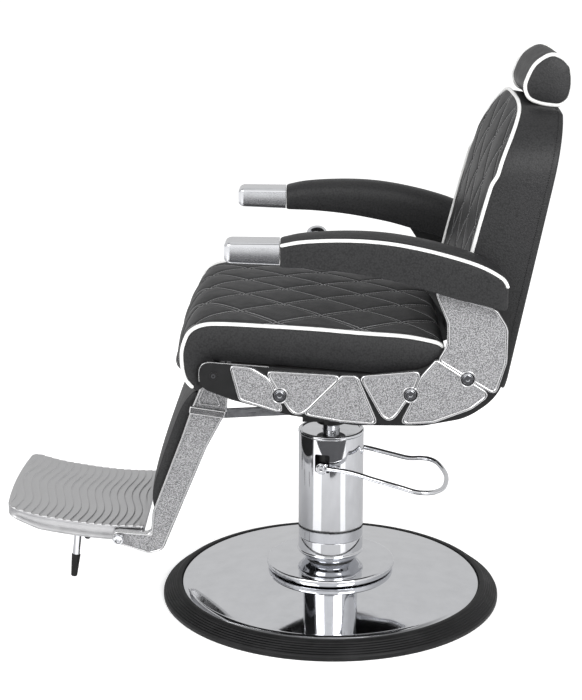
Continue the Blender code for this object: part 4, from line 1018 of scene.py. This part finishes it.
def footplate():
    """Wavy ribs across the plate, each a rounded rise and a narrow fall."""
    top = curve_through(FOOT_TOP, 200)
    x = np.linspace(FOOT_FRONT, FOOT_REAR, 541)[:, None]
    front = 20 * (1 - np.sqrt(1 - np.clip(1 - (x - FOOT_FRONT) / 20, 0, 1) ** 2))
    rear = 8 * (1 - np.sqrt(1 - np.clip(1 + (x - FOOT_REAR) / 8, 0, 1) ** 2))
    half = FOOT_HALF - front - rear
    y = np.linspace(-1, 1, 161) * half
    wave = 8 * np.sin(2 * np.pi * (y + 150) / 224)
    turn = ((x - wave + 700) / RIB_PITCH) % 1.0
    rib = np.where(turn < 0.88, np.sin(np.pi / 2 * turn / 0.88), 1 - ease(turn, 0.88, 1.0))
    border = ease(half - np.abs(y), 0.5, 3.5) * ease(x, -640, -632) * (1 - ease(x, -386, -376))
    base = np.interp(x, top[:, 0], top[:, 1]) - RIB_HEIGHT
    roll = 1.6 * (1 - ease(half - np.abs(y), 0.0, 3.0)) ** 2
    z = base + RIB_HEIGHT * rib * border + 0.9 * (1 - border) - roll
    surface = points_at(x - foot_bow(x, y), y, z)
    skin = Skin(surface)
    shallow = np.clip(0.62 + 0.38 * (x - FOOT_FRONT) / 60, None, 1.0)
    under_z = base - 13 * shallow
    down = np.array([0.0, 2.0, 4.0, 6.0, 23.0, 25.0, 27.0, 29.0])
    out = np.array([0.0, 0.0, -0.6, -1.6, -1.6, -0.6, 0.0, 0.0])
    for sign, j in ((-1, 0), (1, -1)):
        edge = surface[:, [j]]
        flange = points_at(edge[..., 0], sign * (half + out), edge[..., 2] - down * shallow)
        skin.sheet(flange, 1)
        inner = flange[:, -1] - (0, sign * 9, 0)
        lip = points_at(inner[:, 0], inner[:, 1], under_z[:, 0])
        skin.sheet(np.stack([flange[:, -1], inner, lip], 1), 1)
    y = np.linspace(-1, 1, 41) * (half - 9)
    skin.sheet(points_at(x - foot_bow(x, y), y, under_z), 1)
    for i in (0, -1):
        end = surface[i]
        skin.sheet([end, points_at(end[:, 0], end[:, 1], under_z[i])], 1)
    skin.piece("ribbed_footplate", "foot", [RIBBED, FOOT_EDGE], ["footplate"], sharp=50)
    lean = math.atan2(15.5, 128.5)      # the props' run to the rear over their height
    tip = [(0.0, 48), (8.2, 48), (8.9, 47), (8.9, 44), (6.4, 2), (5.2, 0), (0.0, 0)]
    rod = [(0.0, 129.5), (7.4, 129.5), (7.4, 48.6), (6.4, 47.6), (0.0, 47.6)]
    for name, side in SIDES:
        socket_bolt("foot_screw_" + name, (-421, side * 190.4, 186), side, "foot", 9.0, 3.6, 11.2,
                    ["foot_bolt_" + name])
        at = (-524.5, side * 104, 72.0)
        lathe("prop_tip_" + name, tip, "foot", TIP_RUBBER, at, tilt=lean, steps=40,
              nodes=["foot_tip_" + name])
        lathe("prop_rod_" + name, rod, "foot", CHROME, at, tilt=lean, steps=40,
              nodes=["foot_leg_" + name])


# ---- base, pump and pedal

COVER_EDGE = 300.0              # where the cover's cone begins to roll over
COVER_SLOPE = 0.142
PUMP_RADIUS = 67.0


def cover_height(radius):
    """Top of the chrome cover: a shallow cone that rolls over at its edge."""
    past = radius - COVER_EDGE
    return 33.5 - COVER_SLOPE * min(past, 0) - 6.0 * (max(0, past) / 11.7) ** 2


def base_group():
    """Ridged rubber rim, chrome cover, flared collar, lid and the lifting ram."""
    ridges = [(324 + 4.2 * k + a, 29.4 - 3.2 * k + b) for k in range(6)
              for a, b in ((0, 0), (2.6, -0.3), (3.2, -2.6))]
    rim = [(300.3, 22), (311.9, 22), (311.9, 30.4), (313.4, 31.5), (318, 31.8), (322, 31.2)] + ridges
    rim += [(349.6, 9), (350, 7.5), (350, 1.6), (348.6, 0), (300.3, 0)]
    lathe("rubber_rim", rim, "base", RUBBER, steps=240, nodes=["base_rim"], closed=True)
    radii = np.concatenate([np.linspace(100, 300, 40), np.linspace(301, 311, 9)])
    dome = [*((r, cover_height(r)) for r in radii),
            (311.4, 27.2), (311.7, 25.5), (311.7, 22.4), (306, 22.4),
            *((r, cover_height(r) - 3.0) for r in radii[::-4])]
    lathe("chrome_cover", dome, "base", CHROME, steps=240, nodes=["base_cover"],
          round_to=0.6, closed=True)
    skirt = [(66.4, 128.2), (67, 127.6), (67, 101.5), (68.2, 100.6), (69.3, 98.6), (68.6, 96),
             (66, 94), (61, 87.2), (55, 81.8), (50, 78.6), (47, 77), (50, 76), (62, 75.4), (84, 75),
             (108, 74.6), (122, 74.6), (128.5, 74.6), (131.6, 73.4), (133, 70.6), (132.6, 66),
             (130.6, 60.4), (127, 60), (122, 71), (84, 71.5), (44, 72), (42, 76), (45, 80),
             (52, 88), (60, 96), (60, 128.2)]
    lathe("pump_skirt", skirt, "base", CHROME, steps=180, nodes=["base_skirt"],
          round_to=2.2, closed=True)
    cap = [(18.1, 357), (59, 357), (60.4, 357.4), (61.5, 358.8), (63, 359), (66, 359),
           (67.6, 357.6), (67.8, 356), (67.8, 352.4), (18.1, 352.4)]
    lathe("pump_lid", cap, "base", CHROME, steps=144, nodes=["pump_cap"], closed=True)
    piston = [(0.0, 395), (16.6, 395), (17.5, 394), (17.5, 121), (16.6, 120), (0.0, 120)]
    lathe("ram", piston, "lift", BRIGHT_STEEL, steps=96, nodes=["piston_rod"])
    pump_cover()


PEDAL_TURN = math.radians(-14)
PEDAL_Z = 297.0                 # the cross axle's height


def pedal_point(reach, across, height):
    """A point given along the pedal and across it, in the model's frame."""
    c, s = math.cos(PEDAL_TURN), math.sin(PEDAL_TURN)
    return (reach * c - across * s, reach * s + across * c, height)


def pump_cover():
    """The pump's chrome sleeve, with an upright slot on each side for the pedal's axle."""
    outer, inner = PUMP_RADIUS, PUMP_RADIUS - 2
    outline = [(inner, 351.8), (outer - 0.4, 351.8), (outer, 351.2), (outer, 129),
               (outer - 0.4, 128.7), (inner, 128.7), (inner, 351.8)]
    mesh = Skin(turned(soften(outline, 0.3), 160)).mesh("sleeve")
    low, high = PEDAL_Z - 14, PEDAL_Z + 24
    ring = rounded([(-18, low, 5), (13, low, 5), (13, high, 5), (-18, high, 5)], 6)
    tools = [plate_mesh("slot", ring, sign * (outer - 10), sign * (outer + 10)) for sign in (-1, 1)]
    for tool in tools:
        tool.transform(Matrix.Rotation(PEDAL_TURN, 4, "Z"))
    finish_piece("pump_sleeve", cut(mesh, tools), "base", CHROME, ["pump_cover"], sharp=35)


def pedal():
    """Bent wire loop, its two ends coiled into bosses on the cross axle."""
    loop = ((0, -77, 297), (59, -82, 294.5), (112, -90, 286), (165, -95, 277), (195, -99, 272),
            (215, -95, 270), (232, -80, 268), (243, -50, 266.5), (243, -12, 267), (236, 25, 269),
            (222, 58, 271.5), (205, 83, 275), (188, 93, 277), (170, 96, 276.5), (143, 95, 275),
            (105, 90, 283), (49, 85, 294), (0, 77, 297))
    path = curve_through([pedal_point(*p) for p in loop], 260)
    tube("pedal_wire", path, 4.9, "pedal", CHROME, sides=24, nodes=["pedal_loop"])
    hub = [(0.0, 85), (10.8, 85), (12, 83.8), (12, 71.5), (11, 70.5), (7, 70), (7, 53), (0.0, 53)]
    for name, sign in SIDES:
        boss = lathe("pedal_hub_" + name, hub, "pedal", CHROME, (0, 0, PEDAL_Z), sign, steps=64)
        screw = socket_bolt("pedal_screw_" + name, (0, sign * 83.6, PEDAL_Z), sign, "pedal", 8.2,
                            4.4, 0, ["pedal_bolt_" + name])
        for obj in (boss, screw):
            obj.data.transform(Matrix.Rotation(PEDAL_TURN, 4, "Z"))


# ---- recline lever

def recline_lever():
    """Thin rod with a domed knob, on a hub outside the right panel."""
    lean = -math.radians(4.4)
    foot = (-16, 298, 492)
    hub = [(0.0, 14.2), (10, 14.2), (12.6, 13), (14, 11), (14, 0.4), (0.0, 0.4)]
    lathe("lever_hub", hub, "lever", BLACK_PAINT, (-16, 289.6, 492), 1, steps=64,
          nodes=["recline_lever"], round_to=1.2)
    rod = [(0.0, 198), (4.5, 198), (4.5, 0.0), (0.0, 0.0)]
    lathe("lever_rod", rod, "lever", CHROME, foot, tilt=lean, steps=32)
    knob = [(0.0, 230.3), (7, 229.8), (13, 227.8), (18.5, 224), (22, 218.5), (23, 212.5),
            (21.6, 206.5), (17, 201.5), (10, 198.6), (0.0, 198.4)]
    lathe("lever_grip", knob, "lever", CHROME, foot, tilt=lean, steps=64,
          nodes=["lever_knob"], round_to=3.0)


# ---- carried-over nodes

def paint_frame():
    """Finishes of the solids that show as they are."""
    finishes = {
        ZINC: ("base_plate", "back_shaft", "headrest_stem", "legrest_bar",
               "link_bar_left", "link_bar_right", "recline_rod"),
        BLACK_PAINT: ("swivel_head", "seat_rail_left", "seat_rail_right", "seat_cross_front",
                      "seat_cross_rear", "back_crank", "back_bracket_left", "back_bracket_right",
                      "recline_cylinder", "pump_cylinder", "leg_shaft"),
        PLYWOOD: ("seat_pan",),
    }
    for mat, names in finishes.items():
        for name in names:
            mesh = frame["nodes"][name].data
            mesh.materials.clear()
            mesh.materials.append(mat)


# ---- floor and light

def lay_out(name, verts, faces, mat):
    """A sheet of the set, no part of the chair."""
    mesh = bpy.data.meshes.new(name)
    mesh.from_pydata(verts, [], faces)
    mesh.materials.append(mat)
    sheet = new_object(name, mesh)
    return sheet


def flat_sheet(name, corners, colours, height=0.0, glow=0.0):
    """A level sheet of the set, between two corners in metres."""
    mat, where = new_material(name, Roughness=0.9, Specular_IOR_Level=0.1,
                              Emission_Color=(1, 1, 1, 1), Emission_Strength=glow)
    dress(mat, mix_colour(noise(where, 300.0), *colours))
    (x0, y0), (x1, y1) = corners
    verts = [(x0, y0, height), (x1, y0, height), (x1, y1, height), (x0, y1, height)]
    return lay_out(name, verts, [(0, 1, 2, 3)], mat)


def reflected_paper(name, start, end, colour):
    """A grey fan of paper round the pump, from `start` to `end` degrees off the front."""
    mat, where = new_material(name, Roughness=0.9, Specular_IOR_Level=0.1)
    dress(mat, mix_colour(noise(where, 200.0), colour, "#e2e2e3"))
    angles = np.radians(np.linspace(start, end, 33))
    verts = [(r * math.sin(a), -r * math.cos(a), 0.001) for r in (0.36, 3.4) for a in angles]
    return lay_out(name, verts, [(k, k + 1, k + 34, k + 33) for k in range(32)], mat)


def studio():
    """A wide white floor, cloth and papers that only show in the chrome, three soft lights."""
    flat_sheet("floor", ((-40, -40), (40, 40)), ("#fdfdfd", "#fafafa"), glow=0.5)
    cloth = flat_sheet("dark_cloth", ((-1.5, -4.4), (1.3, -0.86)), ("#5c5c5e", "#505052"), 0.002)
    papers = [reflected_paper("grey_paper_front", -32, 32.5, "#f0f0f1"),
              reflected_paper("grey_paper_right", 50, 180, "#f6f6f7"),
              reflected_paper("grey_paper_left", -180, -62.5, "#d6d6d8")]
    for sheet in papers + [cloth]:
        sheet.visible_camera = False
        sheet.visible_shadow = False
        sheet.visible_diffuse = False
    softbox("key_light", (-2.2, -2.4, 2.5), (0, 0, 0.8), 2.0, 46)
    softbox("fill_light", (1.5, -2.6, 2.0), (0.3, 0, 1.0), 1.6, 52)
    softbox("top_light", (0.2, 0.6, 3.4), (0, 0, 0.5), 2.4, 12)
    world()


def softbox(name, at, target, size, power):
    """A square area light that looks at its target."""
    data = bpy.data.lights.new(name, "AREA")
    data.shape = "SQUARE"
    data.size = size
    data.energy = power
    light = new_object(name, data)
    light.location = at
    light.rotation_euler = (Vector(target) - Vector(at)).to_track_quat("-Z", "Y").to_euler()


def world():
    """White to the camera, soft white fill; in reflections grey walls under a dark ceiling."""
    scene = bpy.context.scene
    scene.view_settings.view_transform = "Standard"
    made = bpy.data.worlds.new("studio")
    made.use_nodes = True
    scene.world = made
    tree = made.node_tree
    tree.nodes.clear()
    out = add_node(tree, "OutputWorld")
    path = add_node(tree, "LightPath")
    way = add_node(tree, "SeparateXYZ", {0: add_node(tree, "TexCoord").outputs["Generated"]})
    walls = span(way.outputs["Z"], 0.0, 0.6, 0.66, 0.72)
    ceiling = span(way.outputs["Z"], 0.65, 0.9, 0.0, -0.55)
    front = span(way.outputs["Y"], -0.7, 0.0, 0.45, 0.0)
    glow = math_node("ADD", math_node("ADD", walls, ceiling), front)
    lit, soft, plain = (
        add_node(tree, "Background", {"Color": (1, 1, 1, 1), "Strength": strength}).outputs[0]
        for strength in (glow, 0.62, 1.0))
    for ray, shown in (("Is Glossy Ray", lit), ("Is Camera Ray", plain)):
        inputs = {0: path.outputs[ray], 1: soft, 2: shown}
        soft = add_node(tree, "MixShader", inputs).outputs[0]
    tree.links.new(soft, out.inputs[0])


seat_cushion()
back_cushion()
headrest()
arms()
side_panels()
legrest()
footplate()
base_group()
pedal()
recline_lever()
paint_frame()
studio()
